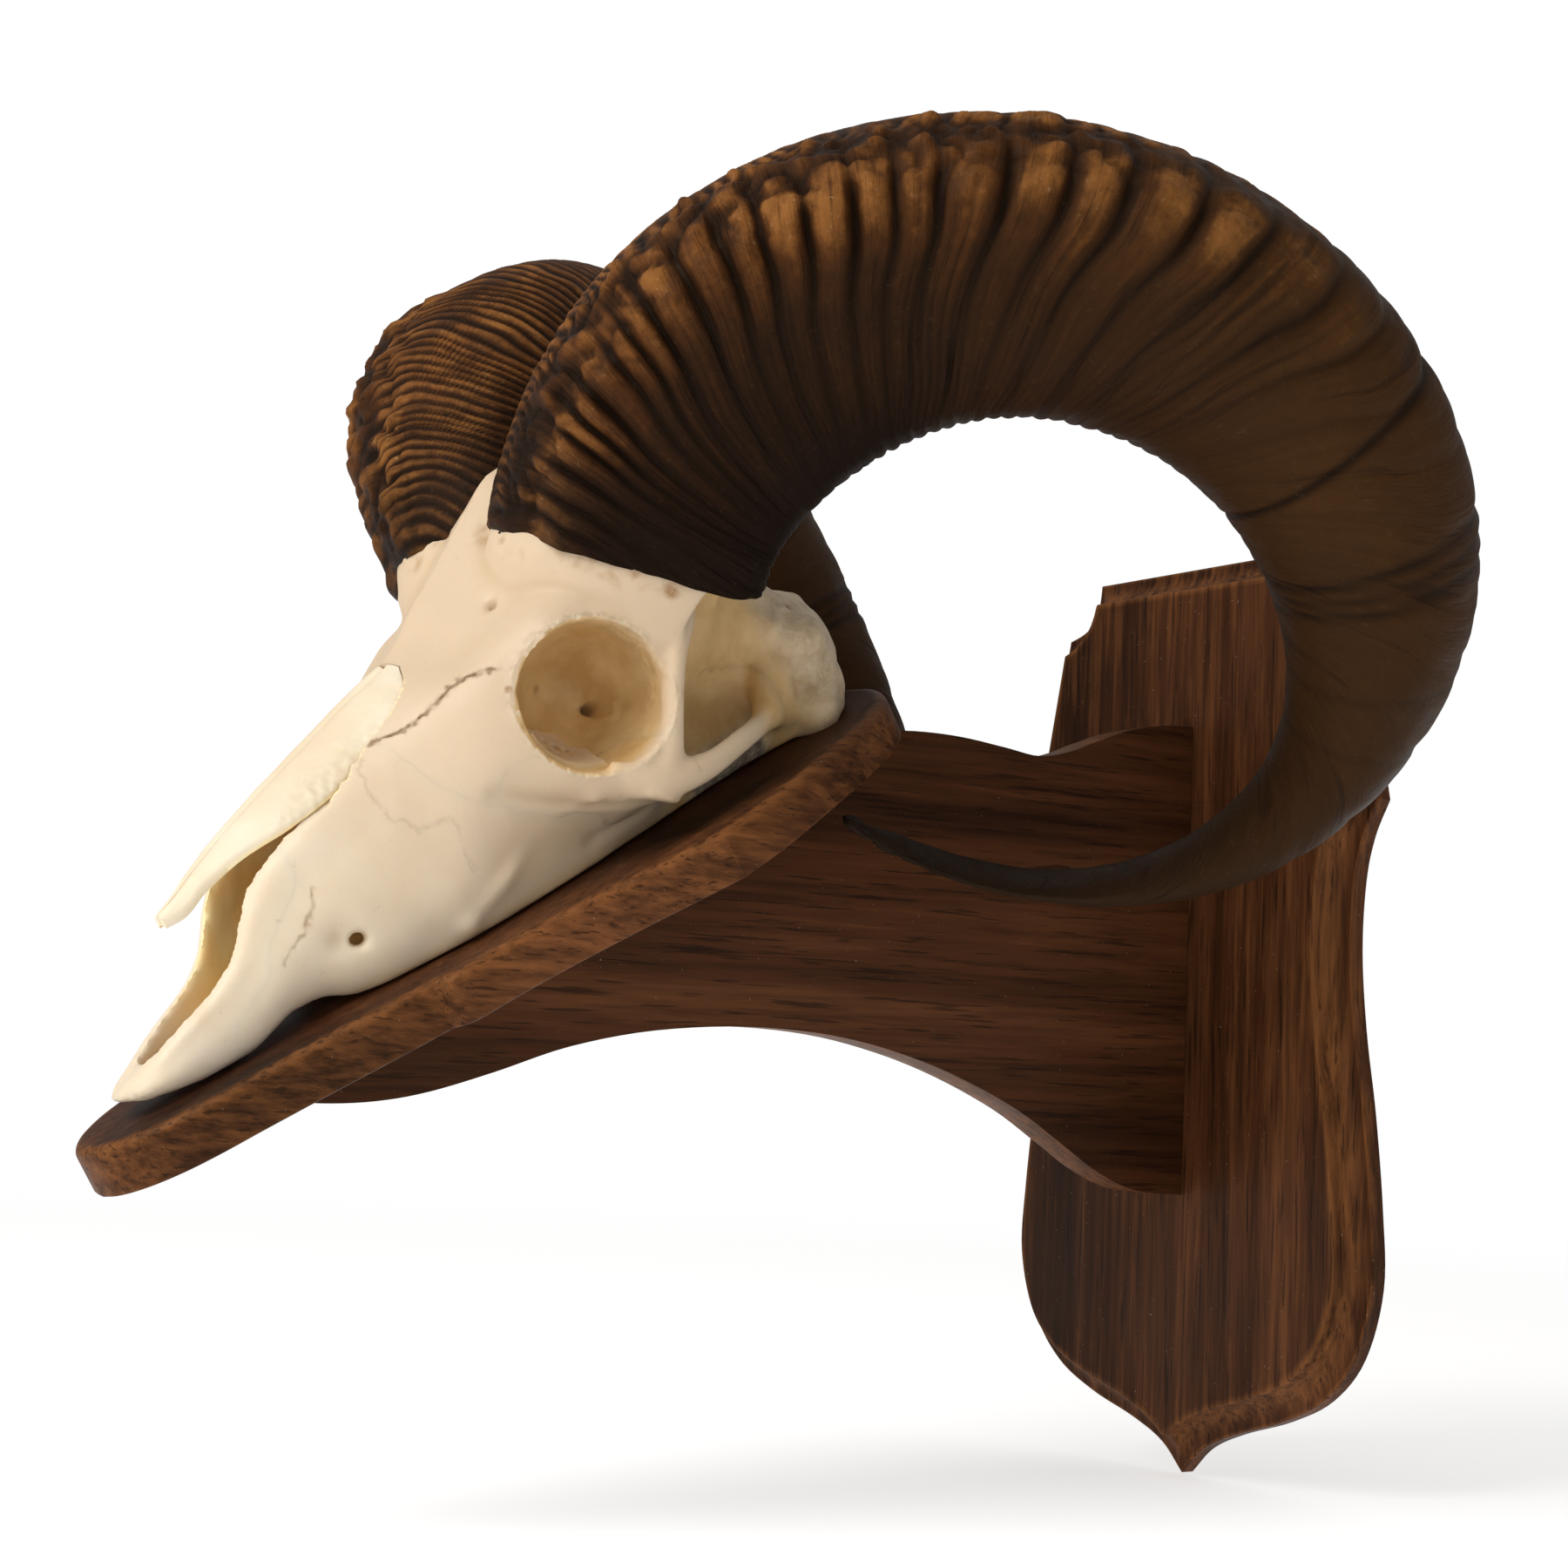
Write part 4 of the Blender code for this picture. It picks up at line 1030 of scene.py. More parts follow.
def horn_values(horn, ribs):
    """What the finish reads at each point: crests, keel, age, rib, grooves and shade."""
    ribbed, cheek, front, strip = horn.ribbed, horn.cheek, horn.front, horn.strip
    # Crests are painted lighter: part rubbed wear, part painted highlight.
    lit = ribs.main ** 1.4 * (horn.bell(-16, 22) + 0.22 * horn.slope + 0.06 * cheek)
    lit = lit + front * ribs.thin ** 1.5 + strip * (0.25 + 0.6 * ribs.cobble)
    # Valleys between ribs are painted nearly black.
    valley = (1 - ribs.main) ** 2.6 * np.clip(1.3 * horn.bell(-20, 28) + 0.6 * horn.slope, 0, 1)
    valley = valley * (1 - 0.5 * horn.low) * (1 - 0.6 * strip)
    bundles = (1 - ribs.fine) ** 1.6 * ribs.bundle * cheek * fall(-horn.psi, 100, 140)
    grooves = (0.95 * valley + 0.7 * bundles + 0.7 * front * (1 - ribs.thin) ** 2
               + 0.5 * strip * fall(ribs.lumps, 0, 0.13))
    # Painted shade on the inside of the curl; the next line makes it darker towards the base.
    inner = ease(-horn.psi, 56, 104) * fall(horn.t, 0.13, 0.25)
    dirty = fall(horn.s, 6, 46) * 0.85 * (0.4 + 0.6 * cheek)
    cloudy = 0.25 * ribbed * cheek * ease(-ribs.stray, 0, 0.6)
    return {
        "crest": ribbed * np.clip(lit, 0, 1) + (1 - ribbed) * 0.4,
        "keel": np.clip(horn.bell(-8, 28) + front, 0, 1) * fall(horn.t, 0.3, 0.42),
        "age": horn.t,
        "rib": ribs.number / RIB_SCALE,
        "groove": np.maximum(np.max(ribs.years, axis=0), ribbed * grooves),
        "shade": np.maximum(inner, dirty) + cloudy,
    }


def make_horn(name, side, seed):
    """One ribbed horn: the left one, or for side = -1 its mirror image with other ribs."""
    ribs = Ribs(smooth_horn, seed)
    skin = ribbed_skin(smooth_horn, ribs, side)
    tip, ahead = skin[-1].mean(axis=0), smooth_horn.tangent[-1] * (side, 1, 1)
    rings = list(skin) + [tip + ahead * out + (skin[-1] - tip) * share for out, share in TIP_RINGS]
    horn = rolled(rings, name)
    # Welding renumbers the points, so each one finds its painted values by its place.
    nearest = finder(skin.reshape(-1, 3) * MM)
    source = np.array([nearest(v.co) for v in horn.data.vertices])
    for key, value in horn_values(smooth_horn, ribs).items():
        paint(horn, key, value.reshape(-1)[source])
    alone(horn)
    bpy.ops.object.shade_smooth()
    print(name, len(horn.data.polygons), "faces,", len(ribs.count), "ribs")
    return horn


horns = [make_horn("horn_left_dressed", 1, 11), make_horn("horn_right_dressed", -1, 47)]

# %% [markdown]
# Horn is translucent keratin over darker layers. Crests and the keel are lighter and
# amber, part rubbed wear and part painted highlight, and valleys are painted nearly
# black. The base is darker, painted shade darkens the inside of the curl, and fine
# growth lines run round it everywhere. The painted values say where crest, valley and
# shade are, and noise stretched round the horn, on its own unrolled map, adds the fine
# lines. Little gloss is wanted: a pale room mirrored in it greys the dark.

# %% Horn finish
HORN_DARK = ((0.0, (0.011, 0.0046, 0.0022)), (0.12, (0.014, 0.0058, 0.0025)),
             (0.24, (0.024, 0.0092, 0.0034)), (0.40, (0.036, 0.0145, 0.0042)),
             (0.62, (0.026, 0.0110, 0.0038)), (1.0, (0.013, 0.007, 0.004)))     # by age
HORN_WARM = ((0.0, (0.048, 0.018, 0.0066)), (0.07, (0.110, 0.037, 0.0095)),
             (0.22, (0.105, 0.036, 0.0085)), (0.38, (0.076, 0.031, 0.0085)),
             (0.6, (0.054, 0.0225, 0.0065)), (1.0, (0.030, 0.016, 0.008)))
# The amber on crests and keel is part rubbed wear and part painted highlight.
AMBER_AND_HIGHLIGHT, CHIP_TONE = (0.36, 0.15, 0.038), (0.46, 0.31, 0.16)
# The valley tone paints the valleys between ribs and the year lines nearly black.
GROOVE_TONE, VALLEY_TONE, SHADE_TONE = ((0.012, 0.0055, 0.003), (0.0065, 0.0035, 0.0022),
                                      (0.0085, 0.0042, 0.0026))
horny = Recipe("ram_horn", 0.55)
unrolled = horny.nodes.new("ShaderNodeUVMap").outputs[0]
strands = horny.noise(horny.scaled((70, 24, 1), source=unrolled), 1, 4, 0.6, 0.4)


def along_ribs(many, drift):
    """A pattern space squeezed across the ribs, so that noise in it runs along them."""
    squeezed = horny.nodes.new("ShaderNodeCombineXYZ")
    horny.feed(squeezed.inputs[0], horny.times(horny.attribute("rib"), RIB_SCALE * many))
    joined = horny.nodes.new("ShaderNodeVectorMath")
    horny.links.new(squeezed.outputs[0], joined.inputs[0])
    horny.links.new(horny.scaled((drift,) * 3), joined.inputs[1])
    return joined.outputs[0]


lines = horny.noise(along_ribs(9, 45), 1, 4, 0.62, 0.1)
bands = horny.noise(along_ribs(1.7, 22), 1, 3, 0.55, 0.3)
grooves = horny.ramp(horny.noise(along_ribs(4.2, 30), 1, 2, 0.5), (0.30, 1.0), (0.40, 0.0))
blotch = horny.noise(horny.place, 42, 4, 0.6, 0.3)
mottle = horny.noise(horny.place, 210, 5, 0.68, 0.6)
speck = horny.noise(horny.place, 520, 3, 0.6)
crest_rub_and_light, keels = horny.attribute("crest"), horny.attribute("keel")
age, groove, shade = (horny.attribute(name) for name in ("age", "groove", "shade"))
dark = horny.ramp(age, *HORN_DARK)
warm = horny.ramp(age, *HORN_WARM)
# Crests and keel are lighter and amber: part rubbed wear, part painted highlight.
lighter_crests = horny.times(crest_rub_and_light, horny.ramp(blotch, (0.32, 0.45), (0.66, 1.05)))
lighter_crests = horny.plus(lighter_crests, horny.times(horny.minus(lines, 0.5), 0.5))
lighter_crests = horny.plus(lighter_crests, horny.times(horny.minus(bands, 0.5), 0.55))
lighter_crests = horny.times(lighter_crests, horny.ramp(mottle, (0.28, 0.6), (0.66, 1.1)))
lighter_crests = horny.times(lighter_crests, horny.plus(0.62, horny.times(keels, 0.55)))
colour = horny.blend(horny.ramp(lighter_crests, (0.08, 0.0), (0.9, 1.0)), dark, warm)
rubbed = horny.times(horny.ramp(lighter_crests, (0.42, 0.0), (1.1, 1.0)),
                     horny.ramp(blotch, (0.36, 0.2), (0.66, 1.0)))
rubbed = horny.times(rubbed, keels)
colour = horny.blend(horny.times(rubbed, 0.5), colour, AMBER_AND_HIGHLIGHT)
# Fine grooves, valleys and year lines are painted nearly black; the shade value is painted shade.
for amount, share, tone in ((grooves, 0.55, GROOVE_TONE), (groove, 0.85, VALLEY_TONE),
                            (shade, 0.82, SHADE_TONE)):
    colour = horny.blend(horny.times(amount, share), colour, tone)
chipped = horny.times(horny.ramp(speck, (0.62, 0.0), (0.76, 1.0)),
                      horny.plus(0.03, horny.times(rubbed, 0.5)))
colour = horny.blend(chipped, colour, CHIP_TONE)
shine = horny.ramp(blotch, (0.3, 0.44), (0.7, 0.66))
bumps = horny.emboss(lines, 0.0008, strength=0.8)
bumps = horny.emboss(mottle, 0.0006, bumps, 0.5)
bumps = horny.emboss(bands, 0.0012, bumps, 0.5)
bumps = horny.emboss(horny.minus(1.0, grooves), 0.0005, bumps, 0.6)
bumps = horny.emboss(strands, 0.0003, bumps, 0.3)
bumps = horny.emboss(speck, 0.00016, bumps, 0.4)
horny.shader.inputs["Specular IOR Level"].default_value = 0.07
horny.shader.inputs["Specular Tint"].default_value = (1, 0.82, 0.62, 1)
horn_finish = horny.finish(colour, shine, bumps)
for horn, node in zip(horns, ("horn_left", "horn_right")):
    coat(horn, horn_finish)
    settle(horn, node + "_dressed", "horn", node)

# %% [markdown]
# ## The skull
#
# A skull is many bones grown together at wavy seams. It could be sculpted by hand,
# but a repeatable way is to draw it as cross-sections from muzzle to occiput, in the
# board's own frame, and fuse the forms with a voxel remesh, which melts their joints
# as bone does. Hollows are then cut out, arches added, and the whole is parted into
# its bones along their seams. The skull is too free a form for inset and extrude, so
# it is drawn by its sections instead.

# %% Sizes of the skull
SKULL_VOXEL = 1.2            # mm: how finely the skull is fused
BONE_WALL, NASION, NASAL_THICK = 3.0, 34.0, 3.0
# Each section: y, the roof's height, then edge, brow, cheek, hollow and foot as (x, z).
SKULL_SECTIONS = (
    (-89, 7.6, (1.5, 7.8), (3, 7.4), (4, 6.6), (3, 5.6), (1.5, 5.4)),
    (-86, 8.8, (3, 9.2), (6, 8.2), (8.5, 6.4), (7.5, 4.6), (5, 4.0)),
    (-80, 11, (6, 11.4), (8.8, 9.2), (11, 6.5), (10, 3.4), (7, 2.6)),
    (-67, 16, (10, 16.4), (12.2, 12.5), (13.5, 7.5), (12.5, 2.4), (9.5, 0.9)),
    (-55, 20.5, (12, 20.8), (14.2, 15.5), (15.5, 9), (14.5, 3), (11, 0.8)),
    (-46, 27, (13, 27.3), (15.5, 20), (17, 12), (15.5, 5.4), (12, 3)),
    (-40, 35, (14, 35.3), (17, 26), (18.5, 16), (16.5, 8), (13, 4.8)),
    (-32, 41.4, (16, 42), (19.5, 32), (21, 20), (18.5, 9), (14.5, 4.6)),
    (-24, 45, (17, 45.4), (22, 35), (24.5, 22), (22.5, 7.5), (19, 1.2)),
    (-16, 48, (17.6, 48.2), (23.8, 37), (27, 23), (26.5, 9), (23.5, 0.3)),
    (-5, 51.5, (18, 51.8), (25.5, 40), (29.5, 26), (30.3, 11), (27.5, 0.3)),
    (8, 65, (18, 57.6), (28, 46), (33, 29), (35, 13), (31.5, 0.3)),
    (20, 69, (19.5, 62), (32, 51), (38.5, 36), (36.5, 15), (33, 0.3)),
    (30, 71.7, (22, 65.5), (36, 57), (44.5, 38), (36.5, 15), (33.5, 0.3)),
    (40, 76, (24, 68), (41.5, 60.5), (50, 33), (37, 14), (33.5, 0.3)),
    (50, 83, (26, 72), (46.5, 63.5), (54, 26), (37.5, 12), (33, 0.3)),
    (60, 89, (28, 76), (51.5, 65.5), (57, 20), (39, 9), (31, 0.3)),
    (70, 95, (31, 81), (52.5, 64.5), (58.5, 16), (41, 9), (30, 0.3)),
    (80, 101, (34, 86), (55, 62.5), (48, 18), (36, 10), (29, 0.3)),
    (90, 106, (36, 89), (55.5, 59.5), (37, 26), (34, 12), (28, 0.3)),
    (100, 107, (36, 87), (50, 57), (34, 30), (32, 14), (27, 0.3)),
    (110, 100, (35, 82), (42, 53), (33, 30), (31, 13), (27, 0.3)),
    (120, 84, (33, 70), (36, 48), (33, 28), (32, 12), (28, 0.3)),
    (130, 65, (30, 57), (34, 42), (34, 26), (34.5, 11), (31, 0.3)),
    (140, 50, (26, 45), (32, 35), (36.5, 21), (39.5, 10), (36.5, 0.3)),
    (149, 43, (22, 38.5), (29.5, 28), (33, 19), (34, 8), (30, 0.3)),
    (156, 39.5, (17, 35), (24, 24), (26, 14), (24, 7), (19, 0.8)),
    (162, 37, (12, 32.5), (17.5, 23), (18, 13.5), (14, 7), (9, 4)),
    (168, 29, (6, 27), (10, 20), (10, 14), (8, 10), (5, 8)),
)
# Each nasal section: y, the ridge's height, the outer edge's x and its height.
NASAL_SECTIONS = ((-57, 43.0, 2.2, 41.6), (-53, 44.6, 3.9, 41.6), (-44, 48.6, 6.2, 45.2),
                  (-33, 53, 10, 48.2), (-18, 58, 15, 49.4), (-4, 62.2, 17.2, 51.8),
                  (8, 65.6, 17.8, 56), (20, 69, 18, 61.4), (29, 71.2, 15, 66.2),
                  (NASION, 72.4, 8, 71))
ORBIT_CENTRE, ORBIT_RADII, ORBIT_TURN = (54.0, 60.0, 45.0), (38.0, 20.8, 20.4), 14.0
FOSSA_OUTLINE = ((73, 4), (70, 21), (76, 36), (84, 48), (94, 55), (104, 57), (115, 53),
                 (126, 43), (129, 32), (126, 22), (122, 12), (121, 4))
FOSSA_REACH = 80.0           # mm: how far out its cutter goes
# The cheek's arch and the bar behind the eye: centre and two half sizes.
ARCH = (((53, 56, 22), 6, 3.2), ((57, 65, 17.2), 5.6, 3), ((58, 74, 14.6), 4.8, 2.7),
        ((57, 84, 13.6), 3.9, 2.5), ((54, 95, 14.0), 3.5, 2.5), ((49, 105, 13.8), 3.4, 2.8),
        ((43.5, 112, 14.2), 4.6, 4.4), ((38.5, 118, 16), 8, 6.5), ((30, 124, 17), 12, 8))
BAR = (((55.5, 63, 12), 3.6, 6.5), ((56.8, 70, 20), 3.7, 4.6), ((56.4, 76.5, 29), 4.2, 3.1),
       ((55.6, 81.5, 37), 4.4, 2.9), ((54.4, 87, 45), 5.0, 3.6), ((51.5, 93.5, 52), 5.8, 5.8),
       ((46, 99, 60), 7.5, 9))
print(len(SKULL_SECTIONS), "sections from", SKULL_SECTIONS[0][0], "to", SKULL_SECTIONS[-1][0])

# %% Sections of the skull and nose


def section_points(y):
    """The named points of one half section at y, from roof to foot."""
    places, roofs, *corners = zip(*SKULL_SECTIONS)
    points = [Vector((0, float(even_curve(places, roofs, y))))]
    for corner in corners:
        points.append(Vector([float(even_curve(places, values, y)) for values in zip(*corner)]))
    return points


def skull_ring(y):
    """One whole section, closed along its flat foot."""
    half = bowed(section_points(y), 5)
    half.append(Vector((half[-1].x * 0.5, half[-1].y)))
    ring = half + [Vector((0, half[-1].y))] + [Vector((-p.x, p.y)) for p in reversed(half[1:])]
    return [(p.x, y, p.y) for p in ring]


def nasal_section(y, side, above=0.0, below=0.0, wide=0.0, inner=0.12, points=6):
    """One nasal bone's section: an arched strip from the midline to its outer edge."""
    places, *sizes = zip(*NASAL_SECTIONS)
    at = min(max(y, places[0]), places[-1])
    roof, edge, low = (float(even_curve(places, values, at)) for values in sizes)
    top, bottom = [], []
    for i in range(points):
        s = i / (points - 1)
        x = inner + (edge - inner) * s
        z = roof - (roof - low) * s ** 2.3 - 0.5 * (1 - s) ** 6
        thick = NASAL_THICK * (1 - (0.1 + 0.35 * float(ease(y, -42, -12))) * s)
        top.append((side * x, y, z + above))
        bottom.append((side * x, y, z - thick - below))
    if wide:
        top.append((side * (x + wide), y, z + above))
        bottom.append((side * (x + wide), y, z - thick - below))
    return top + bottom[::-1]


def nasal_cavity():
    """The hollow of the nose: each section drawn in by the bone's thickness."""
    rings = []
    for y in (-78, -67, -55, -46, -40, -32, -24, -16, -5, 8, 18, 26):
        _, edge, brow, cheek, _, foot = section_points(y)
        shrink = 1.0 if y < 10 else 1 - (y - 10) / 24
        floor_z = foot.y + 3.2 + (edge.y - foot.y) * (1 - shrink) * 0.4
        half = [Vector((max(edge.x - BONE_WALL, 1.2), edge.y + (10 if y < 0 else -1))),
                Vector((max(edge.x - BONE_WALL, 1.2), edge.y - 3)),
                Vector((max(brow.x - BONE_WALL * 1.3, 1.2), min(brow.y - 1, edge.y - 5))),
                Vector((max(cheek.x - BONE_WALL * 1.6, 1.2), cheek.y)),
                Vector((max(foot.x - BONE_WALL, 1.0), floor_z))]
        half = [Vector((p.x * (0.55 + 0.45 * shrink), p.y)) for p in half]
        rings.append([(p.x, y, p.y) for p in half] + [(-p.x, y, p.y) for p in reversed(half)])
    return rolled(rings, "nose_hollow")


# %% Balls, bars and walls
BAR_SIDES = 16


def ball(centre, radii, turn_z=0.0, segments=32):
    """A smooth egg, its three radii in mm, turned about the upright axis."""
    bpy.ops.object.select_all(action="DESELECT")
    bpy.ops.mesh.primitive_uv_sphere_add(segments=segments, ring_count=segments // 2, radius=1)
    sphere = bpy.context.object
    sphere.matrix_world = (Matrix.Translation(Vector(centre) * MM)
                           @ Matrix.Rotation(radians(turn_z), 4, "Z")
                           @ Matrix.Diagonal((*(Vector(radii) * MM), 1)))
    bpy.ops.object.transform_apply(location=True, rotation=True, scale=True)
    return sphere


def swept(stations, side, name, rising=False):
    """A bar of oval section through stations: centre, half height and half width.

    A rising bar has half width and half depth, and its ovals lean back with its climb."""
    centres = bowed([s[0] for s in stations], 4)
    sizes = bowed([(s[1], s[2], 0) for s in stations], 4)
    rings = []
    for centre, size in zip(centres, sizes):
        ring = []
        for i in range(BAR_SIDES):
            turn = 2 * pi * i / BAR_SIDES
            offset = Vector((size.y * cos(turn), 0, size.x * sin(turn)))
            if rising:
                offset = Vector((size.x * cos(turn), 0.8 * size.y * sin(turn),
                                 -0.6 * size.y * sin(turn)))
            spot = centre + offset
            ring.append((side * spot.x, spot.y, spot.z))
        rings.append(ring)
    return rolled(rings, name)


def prism(outline, low, high):
    """A side-view outline (y, z) pushed through from x = low to x = high."""
    return rolled([[(x, y, z) for y, z in outline] for x in (low, high)], "prism")


# %% The stump inside the horn
MOUTH_SIDES = 40
PEDICLE = ((-46, -16), (-20, -5.5), (-8, -2.5), (2.0, -3.0))     # mm: along the horn, grown


def horn_ring(grow, slide):
    """The horn's first section, grown by some mm and slid along the horn's own line."""
    here, outward, across, tangent = horn_frame(0.0)
    depth, width = HORN_DEPTH[0][1] + grow, HORN_WIDTH[0][1] + grow
    ring = []
    for i in range(MOUTH_SIDES):
        turn = 2 * pi * i / MOUTH_SIDES
        point = (here + tangent * slide + outward * depth * cos(turn)
                 + across * width * (1 + HORN_EGG * cos(turn)) * sin(turn))
        short = HORN_APART - grow - point.x
        ring.append(point + across * max(short, 0) / across.x if short > 0 else point)
    return ring


to_board = board_place.inverted()


def pedicle(side):
    """The bony stump inside the sheath's mouth."""
    rings = []
    for slide, grow in PEDICLE:
        rings.append([(to_board @ (Vector((side * p.x, p.y, p.z)) * MM)) / MM
                      for p in horn_ring(grow, slide)])
    return rolled(rings, "pedicle")


print("horn mouth", round(2 * HORN_DEPTH[0][1]), "by", round(2 * HORN_WIDTH[0][1]), "mm")

# %% [markdown]
# All that is oval starts as a stretched ball, listed as place and radii and made on
# both sides. Solid ones swell the back of the head. Hollow ones open the eye socket
# and the passage behind it, and the small holes for nerves and vessels: one over the
# eye, one low on the cheek, two inside the socket and one on its front rim.

# %% Swellings and openings
FORAMINA = (((25, 58.9, 77.5), (2.0, 2.0, 6)), ((25.6, -19.6, 15.0), (4.6, 3.0, 2.2)),
            ((20, 74.6, 36.2), (7, 2.2, 2.2)), ((17.6, 64.7, 48.1), (4, 1.3, 1.0)),
            ((44.2, 41.9, 56.6), (3, 1.2, 1.0)))
SWELLINGS = (((30, 141, 25), (8.5, 10, 9)), ((30.5, 137, 5), (10, 8, 7.6)),
             ((29, 128, 16), (9.5, 11, 12)))
PASSAGE = ((36.5, 80, 23), (5, 13, 4.5))
SECTION_STEP = 1.6                      # mm between the drawn sections


def fossa_cutter(side):
    """The temple's hollow: its inner wall leans out towards the roof."""
    edge = [tuple(p) for p in bowed(FOSSA_OUTLINE, 4)]
    rings = []
    for lean, reach, slant, start in ((0.235, 30.6, 0.42, 102), (0, 58, 0.3, 100),
                                      (0, FOSSA_REACH, 0.2, 96)):
        rings.append([(side * (reach + lean * (z - 4)), y + max(0, slant * (start - y)), z)
                      for y, z in edge])
    return rolled(rings, "temple_hollow")


def on_side(place, side):
    """A place given for the left, moved over for the right where side is -1."""
    return side * place[0], place[1], place[2]


def skull_parts():
    """Solids to fuse, hollows to cut from them, and arches to add after that."""
    places = np.unique(np.concatenate([
        np.linspace(a[0], b[0], max(2, int((b[0] - a[0]) / SECTION_STEP)))
        for a, b in zip(SKULL_SECTIONS, SKULL_SECTIONS[1:])]))
    solids = [rolled([skull_ring(float(y)) for y in places], "hull")]
    hollows, arches = [nasal_cavity()], []
    for side in (1, -1):
        solids.append(pedicle(side))
        hollows.append(ball(on_side(ORBIT_CENTRE, side), ORBIT_RADII, -side * ORBIT_TURN, 48))
        hollows.append(fossa_cutter(side))
        hollows.append(ball(on_side(PASSAGE[0], side), PASSAGE[1]))
        solids += [ball(on_side(centre, side), radii) for centre, radii in SWELLINGS]
        hollows += [ball(on_side(centre, side), radii, 0, 20) for centre, radii in FORAMINA]
        arches += [swept(ARCH, side, "arch"), swept(BAR, side, "bar", rising=True)]
    return solids, hollows, arches


# %% Fusing the skull


def fused(pieces, name):
    """Several pieces melted into one by a voxel remesh."""
    return apply(welded(pieces, name), "REMESH", mode="VOXEL", voxel_size=SKULL_VOXEL * MM)


def soften_temple(piece):
    """Smooths the inside of the temple, where the cutters leave hard edges."""
    spot = points_of(piece) / MM
    x, y, z = np.abs(spot[:, 0]), spot[:, 1], spot[:, 2]
    soft = (ease(x, 20, 25) * fall(x, 46, 53) * ease(y, 62, 70) * fall(y, 124, 132)
            * ease(z, 15, 20) * fall(z, 60, 68))
    group = piece.vertex_groups.new(name="soft")
    for level in range(1, 5):
        chosen = np.flatnonzero(np.ceil(soft * 4) == level).tolist()
        group.add(chosen, level / 4, "REPLACE")
    apply(piece, "SMOOTH", factor=0.5, iterations=30, vertex_group="soft")


def fused_skull():
    """The whole skull as one closed form, hollowed, with its arches."""
    solids, hollows, arches = skull_parts()
    skull = fused(solids, "skull")
    cut(skull, fused(hollows, "hollow"))
    skull = fused([skull] + arches, "skull")
    apply(skull, "SMOOTH", factor=0.5, iterations=4)
    soften_temple(skull)
    skull = whole(skull)
    print("fused skull", len(skull.data.polygons), "faces")
    return skull


skull = fused_skull()

# %% [markdown]
# Now the small relief that tells bone from clay: knobs, crests, shallow hollows and
# lumpy zones. Each is a height added along the surface's own normal, falling off with
# distance from a point or a line. Sculpting brushes would do the same by hand, but a
# list of marks can be read, checked and changed. Where fine marks come, such as wavy
# sutures and the eye socket's beaded rim, the faces are subdivided first.

# %% Marks on the bone
# Knobs and dents: place, radius and rise. Crests and grooves: line, width and rise.
KNOBS = (((30, 7.8, 4.9), 5.0, 2.6), ((34, -2, 8), 9.0, -1.0), ((24, -24.5, 17.5), 6.5, -1.5),
         ((34, 134, 33), 5.0, 2.0), ((31, 141, 35), 4.0, 1.3), ((24, 148, 32), 4.5, 1.8),
         ((14, 158, 24), 4.0, 1.6), ((34, 141, 26), 6.0, 2.2), ((36, 133, 17), 5.0, -1.8),
         ((38, 138, 6), 5.0, 1.6), ((10, 164, 33), 4.0, 1.2), ((50, 30, 34), 9.0, -0.8),
         ((20, 156, 14), 5.0, -1.6), ((38, 118, 56), 10.0, 1.0), ((46, 44, 64), 7.0, -0.7),
         ((33.5, 137, 31), 1.6, -1.6), ((29, 145, 34.5), 1.4, -1.1), ((36, 141, 20), 1.5, -1.0))
CRESTS = ((((31, 8, 6), (36, 22, 11), (43, 36, 17), (50, 48, 20)), 2.6, 1.5),
          (((27, 60, 66), (38, 82, 66), (44, 96, 62), (38, 116, 52)), 2.2, 0.9),
          (((0, 150, 42), (14, 149, 40), (26, 143, 35), (34, 137, 28)), 2.2, 1.6),
          (((17, -40, 34), (14.5, -60, 18), (10, -78, 11)), 1.6, 0.6),
          (((34, 50, 8), (38, 62, 7), (40, 74, 8)), 2.5, -1.0),
          (((42, 26, 33), (44.5, 40, 24), (47, 54, 17), (52, 66, 13)), 2.4, -1.1),
          (((38, 142.5, 14), (37, 135, 13.5), (34, 128, 12)), 2.4, -2.0),
          (((30, 128, 46), (33, 124, 32), (33, 122, 20)), 2.6, -1.0))
SUTURES = (((18.4, 10.3, 58.2), (22.8, 15.8, 57.8), (27.4, 22.9, 58.5), (30.3, 27.9, 60),
            (32.5, 34.5, 63.1), (37.4, 39.4, 62.8), (42.1, 44.3, 62.8)),
           ((22.7, -24.3, 32.3), (21.5, -29.9, 25.5), (19.8, -35.6, 21), (18.8, -39.1, 17.7)),
           ((20, 6, 55.5), (21.2, 2.9, 52.4), (27.1, 1.7, 41.8), (30.1, 4.5, 36.8),
            (32.4, 8.7, 33.2), (36, 15.3, 31.9), (36.2, 13.9, 23), (36.1, 13.8, 17.3)),
           ((36.9, 105.5, 30.7), (36.6, 113.4, 29.7), (36.2, 124.2, 27.6)),
           ((58.6, 76.6, 18.5), (59.7, 76.4, 16.6), (59.9, 76.7, 14.6)))
SUTURE_STRENGTH = (1.6, 0.7, 0.24, 0.3, 0.3)
# The shelf in the socket as an outline (y, z), and its holes as y, z and radius.
EYE_SHELF = ((36, 43), (44, 44.5), (54.2, 39.7), (57, 37.6), (60.8, 35.8), (59.3, 34),
             (60.3, 32), (61.6, 30.9), (63, 28.6), (59, 25), (48, 25), (38, 32))
SHELF_HOLES = ((47.5, 37, 1.2), (50, 34.6, 1.0), (52.6, 36.2, 0.8), (54.8, 33.2, 1.1),
               (51.6, 32, 0.6), (56.6, 31, 0.6))
print(len(KNOBS), "knobs,", len(CRESTS), "crests,", len(SUTURES), "sutures on each side")

